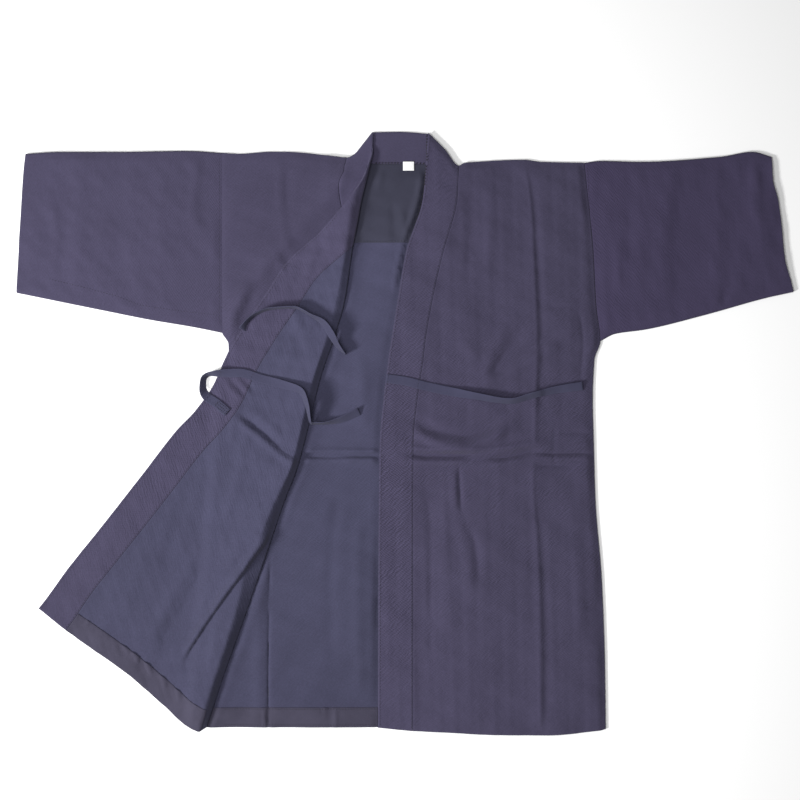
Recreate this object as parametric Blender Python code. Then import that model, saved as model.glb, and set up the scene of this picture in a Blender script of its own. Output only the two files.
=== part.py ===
"""A kendo jacket of woven cotton, laid flat, with its right front turned open on a diagonal.

Metres. +X runs to the viewer's right, +Y from the hem to the collar, +Z up from the surface
that the jacket lies on. The wearer's right front is on the viewer's left.
"""

from collections import namedtuple
from math import cos, exp, hypot, pi, radians, sin

import bmesh
import bpy
from mathutils import Vector
from mathutils.bvhtree import BVHTree

CLOTH = 0.0015
LINING = 0.0010
BAND = 0.0030
TAPE = 0.0012
TAPE_WIDTH = 0.013
GAP = 0.0003
LAYER_GAP = 0.0005
FACING_WIDTH = 0.029
UNDERARM = 0.1341
YOKE_BOTTOM = 0.2762
YOKE_LEFT = -0.0870
YOKE_RIGHT = 0.0725
NECK_LEFT = -0.0986
NECK_RIGHT = 0.0797
NECK_LEFT_POINT = -0.0844
NECK_RIGHT_POINT = 0.0870
NECK_STEPS = 14
LABEL_LEFT = -0.0029
LABEL_RIGHT = 0.0131
LABEL_TOP = 0.3937
LABEL_BOTTOM = 0.3807

# A layer that passes over an edge stays level for STEP_OUT beyond it, then comes down over STEP_RUN.
STEP_OUT = 0.008
STEP_RUN = 0.020
# The turned front comes down from its roll to rest over this length.
ROLL_RUN = 0.034
# Where the lower layer of the right front has its sections' points, closest beside the neck.
LOWER_STATIONS = (-0.200, -0.150, -0.132, -0.125, -0.118, -0.111, -0.104, -0.090)
ROLL_STEPS = 6
PANEL_STEPS = 20
COLLAR_STEPS = 6
# The panel's points come closer together towards the roll.
PANEL_CLOSENESS = 1.3
# The hem facing starts this many points away from the roll.
FACING_START = 3
# Between these levels the band's seam crosses the roll.
CROSSING_TOP = 0.340
CROSSING_BOTTOM = 0.235
ABOVE_CROSSING = 7
IN_CROSSING = 15
BELOW_CROSSING = 34
# Beyond its crest the turned front sinks back over this length.
CREST_SINK = 0.034
# Shoulder and hem lines slant the nearest sections over this length.
SLANT_RUN = 0.075
# Where the left front has its sections' points, closest where its press crease runs.
LEFT_STATIONS = (0, 0.12, 0.24, 0.36, 0.48, 0.58, 0.63, 0.67, 0.71, 0.76, 0.88, 1)
LEFT_LEVELS = (18, 38)
BACK_LEVELS = (12, 18)

INDIGO = (0.063, 0.057, 0.100)
INDIGO_INSIDE = (0.080, 0.074, 0.120)
LINING_BLUE = (0.058, 0.066, 0.108)
WHITE = (0.80, 0.80, 0.80)
COTTON_ROUGH = 0.9
TAPE_ROUGH = 0.8
FACING_ROUGH = 0.75
YOKE_ROUGH = 0.7
LABEL_ROUGH = 0.6
SHARP_ANGLE = 50
# Tapes are laid down from this height.
ABOVE = 0.1

ON_BACK = CLOTH + GAP
ON_NECK = BAND + GAP

Right = namedtuple("Right", "level side fold reach heading curl roll band")
RIGHT_FRONT = (
    Right(0.3995, -0.2653, -0.0464, 0.0000, 150.0, 0.0, 0.0032, 0.038),
    Right(0.3908, -0.2653, -0.0464, 0.0000, 150.0, 0.0, 0.0032, 0.040),
    Right(0.3806, -0.2653, -0.0478, 0.0003, 150.0, 100.0, 0.0032, 0.043),
    Right(0.3676, -0.2653, -0.0535, 0.0010, 150.0, 145.0, 0.0032, 0.046),
    Right(0.3386, -0.2653, -0.0635, 0.0125, 150.0, 145.0, 0.0032, 0.048),
    Right(0.3067, -0.2653, -0.0696, 0.0288, 150.5, 145.0, 0.0031, 0.049),
    Right(0.2719, -0.2653, -0.0761, 0.0472, 150.0, 145.0, 0.0030, 0.049),
    Right(0.1892, -0.2653, -0.0885, 0.1010, 151.0, 145.0, 0.0028, 0.049),
    Right(0.1470, -0.2650, -0.1010, 0.1130, 149.8, 145.0, 0.0027, 0.049),
    Right(0.1300, -0.2558, -0.1063, 0.1185, 149.4, 145.0, 0.0027, 0.049),
    Right(0.0906, -0.2552, -0.1203, 0.1288, 149.1, 145.0, 0.0027, 0.049),
    Right(0.0413, -0.2566, -0.1334, 0.1430, 149.0, 145.0, 0.0026, 0.049),
    Right(-0.0094, -0.2596, -0.1457, 0.1530, 148.8, 145.0, 0.0025, 0.049),
    Right(-0.0529, -0.2624, -0.1580, 0.1683, 149.3, 145.0, 0.0024, 0.049),
    Right(-0.0964, -0.2653, -0.1750, 0.1850, 147.3, 145.0, 0.0022, 0.049),
    Right(-0.1834, -0.2726, -0.2044, 0.2150, 146.3, 145.0, 0.0020, 0.049),
    Right(-0.2704, -0.2828, -0.2349, 0.2445, 145.3, 145.0, 0.0018, 0.049),
    Right(-0.3574, -0.2915, -0.2660, 0.2745, 144.3, 145.0, 0.0016, 0.049),
    Right(-0.4256, -0.2960, -0.2880, 0.2995, 143.9, 145.0, 0.0016, 0.049),
)

Left = namedtuple("Left", "level edge seam side")
LEFT_FRONT = (
    Left(0.3922, 0.0340, 0.0777, 0.2596),
    Left(0.3386, 0.0267, 0.0754, 0.2653),
    Left(0.3009, 0.0142, 0.0667, 0.2693),
    Left(0.2661, 0.0022, 0.0562, 0.2726),
    Left(0.1849, -0.0119, 0.0380, 0.2769),
    Left(0.1341, -0.0200, 0.0295, 0.2828),
    Left(0.1066, -0.0241, 0.0262, 0.2742),
    Left(0.0486, -0.0310, 0.0178, 0.2718),
    Left(-0.0094, -0.0362, 0.0122, 0.2732),
    Left(-0.0964, -0.0377, 0.0116, 0.2758),
    Left(-0.2124, -0.0384, 0.0116, 0.2850),
    Left(-0.3284, -0.0388, 0.0116, 0.2893),
    Left(-0.4299, -0.0391, 0.0116, 0.2907),
)

Line = namedtuple("Line", "x y")
RIGHT_SHOULDER = (
    Line(-0.2653, 0.4067),
    Line(-0.2392, 0.4053),
    Line(-0.1957, 0.4082),
    Line(-0.1740, 0.4082),
    Line(-0.1087, 0.4024),
    Line(-0.0844, 0.3995),
    Line(-0.0464, 0.4343),
)
LEFT_SHOULDER = (
    Line(0.0340, 0.4350),
    Line(0.0580, 0.4110),
    Line(0.0777, 0.3879),
    Line(0.0870, 0.3922),
    Line(0.1740, 0.3966),
    Line(0.1957, 0.3937),
    Line(0.2596, 0.3922),
)
NECK_SEAM = (
    Line(-0.0797, 0.3960),
    Line(-0.0640, 0.3912),
    Line(-0.0450, 0.3906),
    Line(0.0000, 0.3906),
    Line(0.0330, 0.3898),
    Line(0.0754, 0.3868),
)
NECK_EDGE = (
    Line(-0.0478, 0.4366),
    Line(-0.0072, 0.4372),
    Line(0.0348, 0.4343),
)
LEFT_HEM = (
    Line(-0.0391, -0.4256),
    Line(0.0116, -0.4305),
    Line(0.0653, -0.4328),
    Line(0.1087, -0.4357),
    Line(0.1957, -0.4372),
    Line(0.2828, -0.4299),
    Line(0.2900, -0.4282),
)
# How far the hem of the turned front sags below its straight line, by distance from the roll.
RIGHT_HEM_SAG = (
    Line(0.000, 0.000),
    Line(0.012, 0.0105),
    Line(0.040, 0.0155),
    Line(0.072, 0.0120),
    Line(0.150, 0.0050),
    Line(0.250, 0.0070),
    Line(0.300, 0.0040),
)
# The turned front climbs from its fold to this line, the crest of the loose roll.
Crest = namedtuple("Crest", "y x height")
FOLD_CREST = (
    Crest(0.3900, -0.0560, 0.0000),
    Crest(0.3700, -0.0620, 0.0045),
    Crest(0.3480, -0.0730, 0.0060),
    Crest(0.3147, -0.0860, 0.0060),
    Crest(0.2700, -0.0930, 0.0050),
    Crest(0.2000, -0.1040, 0.0040),
    Crest(0.1300, -0.1220, 0.0050),
    Crest(0.0600, -0.1440, 0.0055),
    Crest(0.0000, -0.1580, 0.0040),
    Crest(-0.0300, -0.1600, 0.0030),
    Crest(-0.0467, -0.1635, 0.0055),
    Crest(-0.0726, -0.1755, 0.0077),
    Crest(-0.0979, -0.1875, 0.0095),
    Crest(-0.1240, -0.1985, 0.0115),
    Crest(-0.1501, -0.2085, 0.0120),
    Crest(-0.1834, -0.2262, 0.0120),
    Crest(-0.2023, -0.2320, 0.0120),
    Crest(-0.2279, -0.2366, 0.0120),
    Crest(-0.2539, -0.2432, 0.0118),
    Crest(-0.2797, -0.2510, 0.0110),
    Crest(-0.3052, -0.2588, 0.0102),
    Crest(-0.3313, -0.2682, 0.0094),
    Crest(-0.3574, -0.2765, 0.0088),
    Crest(-0.3835, -0.2847, 0.0084),
    Crest(-0.4092, -0.2930, 0.0082),
    Crest(-0.4256, -0.2975, 0.0076),
)

RIGHT_CUFF = (
    Line(-0.5495, 0.4053),
    Line(-0.5524, 0.3792),
    Line(-0.5568, 0.3096),
    Line(-0.5626, 0.2037),
)
RIGHT_TOP = (
    Line(-0.2656, 0.4067),
    Line(-0.3146, 0.4096),
    Line(-0.4132, 0.4082),
    Line(-0.5002, 0.4082),
    Line(-0.5495, 0.4053),
)
RIGHT_UNDER = (
    Line(-0.2656, 0.1457),
    Line(-0.3045, 0.1538),
    Line(-0.3697, 0.1648),
    Line(-0.4350, 0.1778),
    Line(-0.5626, 0.2037),
)
LEFT_CUFF = (
    Line(0.5307, 0.4009),
    Line(0.5322, 0.3676),
    Line(0.5398, 0.3386),
    Line(0.5440, 0.3096),
    Line(0.5498, 0.2516),
    Line(0.5582, 0.2226),
    Line(0.5626, 0.2050),
)
LEFT_TOP = (
    Line(0.2599, 0.3922),
    Line(0.2828, 0.3951),
    Line(0.3407, 0.3937),
    Line(0.4567, 0.4009),
    Line(0.5031, 0.4082),
    Line(0.5307, 0.4009),
)
LEFT_UNDER = (
    Line(0.2831, 0.1341),
    Line(0.3045, 0.1443),
    Line(0.3480, 0.1505),
    Line(0.4350, 0.1718),
    Line(0.5220, 0.1960),
    Line(0.5626, 0.2050),
)
# Distance between the two walls of a sleeve, from its armhole to its cuff.
SLEEVE_LOFT = (Line(0.0, 0.0018), Line(0.3, 0.0030), Line(1.0, 0.0034))
SLEEVE_SWELL = 0.0014
# The swell fades a little before the cuff.
SWELL_REACH = 1.1
SLEEVE_STEPS = 17
SLEEVE_RINGS = 10
BEND_STEPS = 5

Ridge = namedtuple("Ridge", "x1 y1 x2 y2 height width")
TURNED_RIDGES = (
    Ridge(-0.2390, 0.0280, -0.1980, -0.0020, 0.0034, 0.011),
    Ridge(-0.1980, -0.0020, -0.1680, -0.0290, 0.0040, 0.011),
    Ridge(-0.2360, -0.1900, -0.2730, -0.2380, 0.0030, 0.010),
    Ridge(-0.2730, -0.2380, -0.3100, -0.2960, 0.0040, 0.010),
    Ridge(-0.3100, -0.2960, -0.3350, -0.3500, 0.0020, 0.010),
)
LEFT_RIDGES = (
    Ridge(0.0160, -0.0340, 0.0900, -0.0310, 0.0022, 0.010),
    Ridge(0.1500, -0.0310, 0.2380, -0.0380, 0.0020, 0.010),
    Ridge(0.1740, 0.3930, 0.1880, 0.2000, 0.0014, 0.010),
    Ridge(0.1880, 0.2000, 0.1880, 0.0100, 0.0018, 0.010),
    Ridge(0.1880, -0.0900, 0.1957, -0.4300, 0.0016, 0.010),
    Ridge(0.0250, 0.0100, 0.0700, -0.0060, 0.0020, 0.010),
    Ridge(0.0700, -0.0060, 0.1400, 0.0120, 0.0020, 0.010),
)

# A tape's route: turn 0 lies flat, turn 90 stands on its edge.
Route = namedtuple("Route", "x y turn")
Stop = namedtuple("Stop", "at x y turn")
UPPER_TIE = (
    Route(-0.2350, 0.1500, 35),
    Route(-0.2291, 0.1602, 62),
    Route(-0.2131, 0.1733, 68),
    Route(-0.1914, 0.1805, 68),
    Route(-0.1602, 0.1820, 68),
    Route(-0.1363, 0.1711, 66),
    Route(-0.1180, 0.1602, 60),
    Route(-0.1073, 0.1449, 56),
    Route(-0.0971, 0.1269, 48),
    Route(-0.0863, 0.1145, 42),
)
LOWER_TIE = (
    Route(-0.2566, 0.0304, 0),
    Route(-0.2726, 0.0442, 0),
    Route(-0.2870, 0.0540, 15),
    Route(-0.2925, 0.0660, 46),
    Route(-0.2915, 0.0790, 56),
    Route(-0.2828, 0.0862, 66),
    Route(-0.2682, 0.0870, 40),
    Route(-0.2392, 0.0877, 10),
    Route(-0.2073, 0.0790, 0),
    Route(-0.1740, 0.0703, 20),
    Route(-0.1493, 0.0616, 48),
    Route(-0.1406, 0.0413, 62),
    Route(-0.1348, 0.0150, 76),
    Route(-0.1203, 0.0150, 76),
    Route(-0.0943, 0.0196, 50),
    Route(-0.0667, 0.0326, 25),
)
LEFT_TIE = (
    Route(-0.0275, 0.0800, 0),
    Route(0.0000, 0.0761, 0),
    Route(0.0290, 0.0689, 0),
    Route(0.0623, 0.0616, 0),
    Route(0.1015, 0.0544, 12),
    Route(0.1522, 0.0471, 18),
    Route(0.1812, 0.0544, 12),
    Route(0.2175, 0.0631, 0),
    Route(0.2566, 0.0689, 0),
)
TAPE_STEP = 0.008
TAPE_SLOPE = 0.8
TAPE_FEELERS = 4

solids = []


def clear_scene():
    for item in list(bpy.data.objects):
        bpy.data.objects.remove(item)


def clamp(value, low=0.0, high=1.0):
    return min(max(value, low), high)


def mix(a, b, share):
    return a + (b - a) * share


def ease(share):
    share = clamp(share)
    return share * share * (3 - 2 * share)


def read(table, name, at, key=0):
    """One column of a table at a place between its rows, on a smooth curve that never overshoots."""
    rows = sorted(table, key=lambda row: row[key])
    keys = [row[key] for row in rows]
    values = [getattr(row, name) for row in rows]
    at = clamp(at, keys[0], keys[-1])
    i = max(n for n in range(len(keys) - 1) if keys[n] <= at or n == 0)
    slopes = [(values[n + 1] - values[n]) / (keys[n + 1] - keys[n]) for n in range(len(keys) - 1)]

    def tangent(n):
        if n == 0 or n == len(keys) - 1:
            return slopes[min(n, len(slopes) - 1)]
        before, after = slopes[n - 1], slopes[n]
        return 0.0 if before * after <= 0 else 2 * before * after / (before + after)

    width = keys[i + 1] - keys[i]
    t = (at - keys[i]) / width
    rise = values[i + 1] - values[i]
    start, end = tangent(i) * width, tangent(i + 1) * width
    bend = t * t * (3 * rise - 2 * start - end) + t**3 * (start + end - 2 * rise)
    return values[i] + t * start + bend


def spread(first, last, steps):
    return [mix(first, last, n / max(steps, 1)) for n in range(steps + 1)]


def along(points, share):
    """The place at a share of the length of a smooth line through a few points."""
    lengths = [0.0]
    for a, b in zip(points, points[1:]):
        lengths.append(lengths[-1] + hypot(b.x - a.x, b.y - a.y))
    stops = [Route(length, point.x, point.y) for length, point in zip(lengths, points)]
    at = share * lengths[-1]
    return read(stops, "y", at), read(stops, "turn", at)


def step_over(distance):
    """1 over a lower layer, 0 well beyond its edge."""
    return 1 - ease((distance - STEP_OUT) / STEP_RUN)


def near_neck(x, y):
    return step_over(max(NECK_LEFT - x, x - NECK_RIGHT, YOKE_BOTTOM - y, 0.0))


def on_body(x, y):
    return step_over(read(RIGHT_FRONT, "side", y) - x)


def ridges(table, x, y):
    """Height of the soft ridges that cross a place."""
    height = 0.0
    for ridge in table:
        run = Vector((ridge.x2 - ridge.x1, ridge.y2 - ridge.y1))
        place = Vector((x - ridge.x1, y - ridge.y1))
        share = clamp(place.dot(run) / run.length_squared)
        distance = (place - run * share).length
        height = max(height, ridge.height * exp(-((distance / ridge.width) ** 2)))
    return height


def fold_crest(x, y):
    """Height that the loose roll adds: it climbs from the fold to its crest, then sinks back."""
    roll, curl = read(RIGHT_FRONT, "roll", y), radians(read(RIGHT_FRONT, "curl", y))
    start = read(RIGHT_FRONT, "fold", y) - roll * (1 - sin(curl))
    crest = read(FOLD_CREST, "x", y)
    climb = max((start - x) / (start - crest), 0.0)
    sink = max(crest - x, 0.0) / CREST_SINK
    return read(FOLD_CREST, "height", y) * min(climb, 1.0) * exp(-sink * sink)


def material(name, colour, roughness):
    made = bpy.data.materials.new(name)
    made.use_nodes = True
    shader = made.node_tree.nodes["Principled BSDF"]
    shader.inputs["Base Color"].default_value = (*colour, 1.0)
    shader.inputs["Roughness"].default_value = roughness
    shader.inputs["Metallic"].default_value = 0.0
    made.diffuse_color = (*colour, 1.0)
    return made


def solid(name, points, faces, colour, roughness=COTTON_ROUGH):
    """A closed body as one object with its own material, kept so that tapes can be laid on it."""
    mesh = bpy.data.meshes.new(name)
    shape = bmesh.new()
    corners = [shape.verts.new(point) for point in points]
    for face in faces:
        shape.faces.new([corners[n] for n in face])
    bmesh.ops.remove_doubles(shape, verts=shape.verts, dist=0.000001)
    bmesh.ops.recalc_face_normals(shape, faces=shape.faces)
    shape.to_mesh(mesh)
    solids.append(BVHTree.FromBMesh(shape))
    shape.free()
    mesh.shade_smooth()
    mesh.set_sharp_from_angle(angle=radians(SHARP_ANGLE))
    mesh.materials.append(material(name, colour, roughness))
    bpy.context.scene.collection.objects.link(bpy.data.objects.new(name, mesh))


def wall(name, lower, upper, colour, roughness=COTTON_ROUGH):
    """A sheet of cloth between two grids of points of the same size."""
    rows, columns = len(lower), len(lower[0])
    count = rows * columns
    faces = []
    for r in range(rows - 1):
        for c in range(columns - 1):
            a, b = r * columns + c, (r + 1) * columns + c
            faces.append((a, b, b + 1, a + 1))
            faces.append((count + a, count + a + 1, count + b + 1, count + b))
    rim = [(0, c) for c in range(columns)]
    rim += [(r, columns - 1) for r in range(1, rows)]
    rim += [(rows - 1, c) for c in range(columns - 2, -1, -1)]
    rim += [(r, 0) for r in range(rows - 2, 0, -1)]
    for (r1, c1), (r2, c2) in zip(rim, rim[1:] + rim[:1]):
        a, b = r1 * columns + c1, r2 * columns + c2
        faces.append((a, b, count + b, count + a))
    points = [p for row in lower for p in row] + [p for row in upper for p in row]
    solid(name, points, faces, colour, roughness)


def flat_wall(name, grid, thickness, colour, roughness=COTTON_ROUGH):
    """A sheet from the points of its underside."""
    upper = [[p + Vector((0, 0, thickness)) for p in row] for row in grid]
    wall(name, grid, upper, colour, roughness)


class Turned:
    """The right front at one level: from its side to the roll, round it, and back over itself."""

    def __init__(self, level):
        for name in Right._fields:
            setattr(self, name, read(RIGHT_FRONT, name, level))
        self.curl = radians(self.curl)
        self.start = self.fold - self.roll * sin(min(self.curl, pi / 2))
        self.lower = self.start - self.side
        self.turned = self.lower + self.roll * self.curl
        self.length = self.turned + self.reach
        self.seam = self.length - self.band

    def slant(self, x):
        top = RIGHT_FRONT[0].level
        share = 1 - ease((top - self.level) / SLANT_RUN)
        return (read(RIGHT_SHOULDER, "y", x) - top) * share

    def middle(self, x, y):
        """Height of the middle of the lower layer."""
        rise = ON_NECK - ON_BACK + (BAND - CLOTH) / 2
        return ON_BACK + CLOTH / 2 + rise * near_neck(x, y)

    def at(self, place, thickness):
        """The middle of the wall at a distance from the side, and the way its outer face looks."""
        y = self.level
        if place <= self.lower:
            x = self.side + place
            y += self.slant(x)
            return Vector((x, y, self.middle(x, y))), Vector((0, 0, 1))
        y += self.slant(self.start)
        low = self.middle(self.start, y)
        if place <= self.turned:
            angle = (place - self.lower) / self.roll
            x = self.start + self.roll * sin(angle)
            return Vector((x, y, low + self.roll * (1 - cos(angle)))), Vector((-sin(angle), 0, cos(angle)))
        run = place - self.turned
        x = self.start + self.roll * sin(self.curl) + run * cos(radians(self.heading))
        hem = 1 - ease((self.level - RIGHT_FRONT[-1].level) / SLANT_RUN)
        y += run * sin(radians(self.heading)) - read(RIGHT_HEM_SAG, "y", run) * hem
        high = low + self.roll * (1 - cos(self.curl))
        under = CLOTH / 2 + (BAND - CLOTH) / 2 * near_neck(x, y)
        rest = self.middle(x, y) + under + LAYER_GAP + thickness / 2
        rest = mix(thickness / 2, rest, on_body(x, y))
        fall = 0.5 * (1 + cos(pi * clamp(run / ROLL_RUN)))
        height = mix(rest, high, fall) + ridges(TURNED_RIDGES, x, y) * (1 - fall) + fold_crest(x, y)
        return Vector((x, y, height)), Vector((0, 0, -1))

    def stations(self, first, last, steps):
        """Places along the wall: some on the lower layer, some round the roll, some on the turned part."""
        low = clamp(self.lower, first, last)
        high = clamp(self.turned, first, last)
        places = [first] + [clamp(x - self.side, first, low) for x in LOWER_STATIONS]
        places += spread(low, high, ROLL_STEPS)
        return places + [mix(high, last, share**PANEL_CLOSENESS) for share in spread(0, 1, steps)[1:]]

    def panel(self):
        return self.stations(0.0, self.seam - GAP, PANEL_STEPS)

    def collar(self):
        return self.stations(self.seam, self.length, COLLAR_STEPS)

    def facing(self):
        return self.panel()[FACING_START - 1 - PANEL_STEPS:]


def right_levels():
    """Levels of the right front's sections, closest where the band's seam crosses the roll."""
    top, facing = RIGHT_FRONT[0].level, facing_levels()
    levels = spread(top, CROSSING_TOP, ABOVE_CROSSING)
    levels += spread(CROSSING_TOP, CROSSING_BOTTOM, IN_CROSSING)[1:]
    return levels + spread(CROSSING_BOTTOM, facing[0], BELOW_CROSSING)[1:] + facing[1:]


def facing_levels():
    hem = RIGHT_FRONT[-1].level
    return spread(hem + FACING_WIDTH, hem, 2)


def turned_strip(name, stations, thickness, levels, colour, lift=0.0, roughness=COTTON_ROUGH):
    """A wall along the right front, through places on each section, lifted off its inner face."""
    inner, outer = [], []
    for level in levels:
        section = Turned(level)
        inner.append([])
        outer.append([])
        for place in stations(section):
            middle, face = section.at(place, CLOTH if lift else thickness)
            middle = middle - face * lift
            outer[-1].append(middle + face * thickness / 2)
            inner[-1].append(middle - face * thickness / 2)
    wall(name, inner, outer, colour, roughness)


def build_right_front():
    turned_strip("front_right", Turned.panel, CLOTH, right_levels(), INDIGO)
    turned_strip("collar_right", Turned.collar, BAND, right_levels(), INDIGO)
    lift = CLOTH / 2 + GAP + LINING / 2
    levels = facing_levels()
    turned_strip("hem_facing_front", Turned.facing, LINING, levels, LINING_BLUE, lift, FACING_ROUGH)


def left_point(level, x):
    """A place on the left front: level lines that bend to the shoulder and to the hem."""
    top, bottom = LEFT_FRONT[0].level, LEFT_FRONT[-1].level
    up = (read(LEFT_SHOULDER, "y", x) - top) * (1 - ease((top - level) / SLANT_RUN))
    down = (read(LEFT_HEM, "y", x) - bottom) * (1 - ease((level - bottom) / SLANT_RUN))
    return level + up + down


def build_left_front():
    panel, band = [], []
    top, bottom = LEFT_FRONT[0].level, LEFT_FRONT[-1].level
    for level in spread(top, UNDERARM, LEFT_LEVELS[0]) + spread(UNDERARM, bottom, LEFT_LEVELS[1])[1:]:
        edge, seam, side = (read(LEFT_FRONT, name, level) for name in ("edge", "seam", "side"))
        row = []
        for share in LEFT_STATIONS:
            x = mix(seam + GAP, side, share)
            y = left_point(level, x)
            rise = (ON_NECK - ON_BACK) * near_neck(x, y) + ridges(LEFT_RIDGES, x, y)
            row.append(Vector((x, y, ON_BACK + rise)))
        panel.append(row)
        row = []
        for x in spread(edge, seam, 3):
            y = left_point(level, x)
            row.append(Vector((x, y, mix(ON_BACK, ON_NECK, near_neck(x, y)))))
        band.append(row)
    flat_wall("front_left", panel, CLOTH, INDIGO)
    flat_wall("collar_left", band, BAND, INDIGO)


def build_back():
    hem = RIGHT_FRONT[-1].level
    top = LEFT_FRONT[0].level
    neck = [along(NECK_SEAM, share) for share in spread(0, 1, NECK_STEPS)]
    grid = []
    for level in spread(top, UNDERARM, BACK_LEVELS[0]) + spread(UNDERARM, hem, BACK_LEVELS[1])[1:]:
        left = read(RIGHT_FRONT, "side", level)
        right = read(LEFT_FRONT, "side", level)
        tops = [(x, read(RIGHT_SHOULDER, "y", x)) for x in spread(left, NECK_LEFT_POINT, 4)]
        tops += [(x, y - 2 * GAP) for x, y in neck]
        tops += [(x, read(LEFT_SHOULDER, "y", x)) for x in spread(NECK_RIGHT_POINT, right, 5)]
        slant = 1 - ease((top - level) / SLANT_RUN)
        grid.append([Vector((x, level + (y - top) * slant, 0.0)) for x, y in tops])
    flat_wall("back_panel", grid, CLOTH, INDIGO_INSIDE)

    columns = spread(YOKE_LEFT, YOKE_RIGHT, 12)
    rows = []
    for share in spread(0, 1, 2):
        rows.append([])
        for x in columns:
            top = min(read(NECK_SEAM, "y", x), NECK_SEAM[2].y) - 2 * GAP
            rows[-1].append(Vector((x, mix(top, YOKE_BOTTOM, share), ON_BACK)))
    flat_wall("yoke_lining", rows, LINING, LINING_BLUE, YOKE_ROUGH)

    rows = []
    for level in spread(hem + FACING_WIDTH, hem + GAP, 3):
        section = Turned(level)
        first = section.fold + CLOTH / 2 + 2 * GAP
        last = read(LEFT_FRONT, "edge", level) - GAP
        rows.append([Vector((x, level, ON_BACK)) for x in spread(first, last, 10)])
    flat_wall("hem_facing_back", rows, LINING, LINING_BLUE, FACING_ROUGH)


def build_neck():
    rows = []
    for share in spread(0, 1, 3):
        rows.append([])
        for place in spread(0, 1, NECK_STEPS):
            x1, y1 = along(NECK_EDGE, place)
            x2, y2 = along(NECK_SEAM, place)
            rows[-1].append(Vector((mix(x1, x2, share), mix(y1, y2, share), 0.0)))
    flat_wall("collar_neck", rows, BAND, INDIGO_INSIDE)
    corners = [
        [Vector((x, y, ON_NECK)) for x in (LABEL_LEFT, LABEL_RIGHT)] for y in (LABEL_TOP, LABEL_BOTTOM)
    ]
    flat_wall("label", corners, LINING, WHITE, LABEL_ROUGH)


def sleeve_ring(width, loft, swell, inset):
    """Round a flattened tube: (distance across, height) pairs, moved in by inset from its middle line."""
    radius = loft / 2
    base = CLOTH / 2
    margin = radius + CLOTH / 2
    ring = []
    for w in spread(margin, width - margin, SLEEVE_STEPS):
        share = (w - margin) / (width - 2 * margin)
        ring.append((w, base + loft + swell * sin(pi * share) - inset))
    bends = [pi * n / BEND_STEPS for n in range(1, BEND_STEPS)]
    reach = radius - inset
    for angle in bends:
        ring.append((width - margin + reach * sin(angle), base + radius + reach * cos(angle)))
    for w in spread(width - margin, margin, SLEEVE_STEPS):
        ring.append((w, base + inset))
    for angle in bends:
        ring.append((margin - reach * sin(angle), base + radius - reach * cos(angle)))
    return ring


def sleeve(name, armhole, cuff, top, under):
    """A flattened tube from the armhole to the cuff, open at both ends."""

    def place(share, across):
        """A point inside four edge lines, at shares of the way along and across."""
        a, b = armhole(across), along(cuff, across)
        c, d = along(top, share), along(under, share)
        corners = [armhole(0), armhole(1), along(cuff, 0), along(cuff, 1)]
        point = []
        for n in (0, 1):
            sides = mix(a[n], b[n], share) + mix(c[n], d[n], across)
            near = mix(corners[0][n], corners[1][n], across)
            far = mix(corners[2][n], corners[3][n], across)
            point.append(sides - mix(near, far, share))
        return point

    rings = []
    for share in spread(0, 1, SLEEVE_RINGS):
        (x1, y1), (x2, y2) = place(share, 0), place(share, 1)
        width = hypot(x2 - x1, y2 - y1)
        loft = read(SLEEVE_LOFT, "y", share)
        swell = SLEEVE_SWELL * sin(pi * clamp(share * SWELL_REACH))
        for inset in (-CLOTH / 2, CLOTH / 2):
            ring = []
            for w, z in sleeve_ring(width, loft, swell, inset):
                x, y = place(share, w / width)
                ring.append(Vector((x, y, z)))
            rings.append(ring)
    around = len(rings[0])
    points = [point for ring in rings for point in ring]
    faces = []
    for n in range(around):
        m = (n + 1) % around
        for r in range(0, len(rings) - 2, 2):
            a, b = r * around, (r + 2) * around
            faces.append((a + n, a + m, b + m, b + n))
            a, b = a + around, b + around
            faces.append((a + n, b + n, b + m, a + m))
        faces.append((n, around + n, around + m, m))
        last = (len(rings) - 2) * around
        faces.append((last + n, last + m, last + around + m, last + around + n))
    solid(name, points, faces, INDIGO)


def build_sleeves():
    def right_armhole(share):
        return RIGHT_TOP[0].x, mix(RIGHT_TOP[0].y, RIGHT_UNDER[0].y, share)

    def left_armhole(share):
        y = mix(LEFT_TOP[0].y, LEFT_UNDER[0].y, share)
        return read(LEFT_FRONT, "side", y) + 2 * GAP, y

    sleeve("sleeve_right", right_armhole, RIGHT_CUFF, RIGHT_TOP, RIGHT_UNDER)
    sleeve("sleeve_left", left_armhole, LEFT_CUFF, LEFT_TOP, LEFT_UNDER)


def top_at(x, y):
    """Height of what already lies at a place."""
    height = 0.0
    for tree in solids:
        hit = tree.ray_cast(Vector((x, y, ABOVE)), Vector((0, 0, -1)))[0]
        if hit:
            height = max(height, hit.z)
    return height


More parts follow.
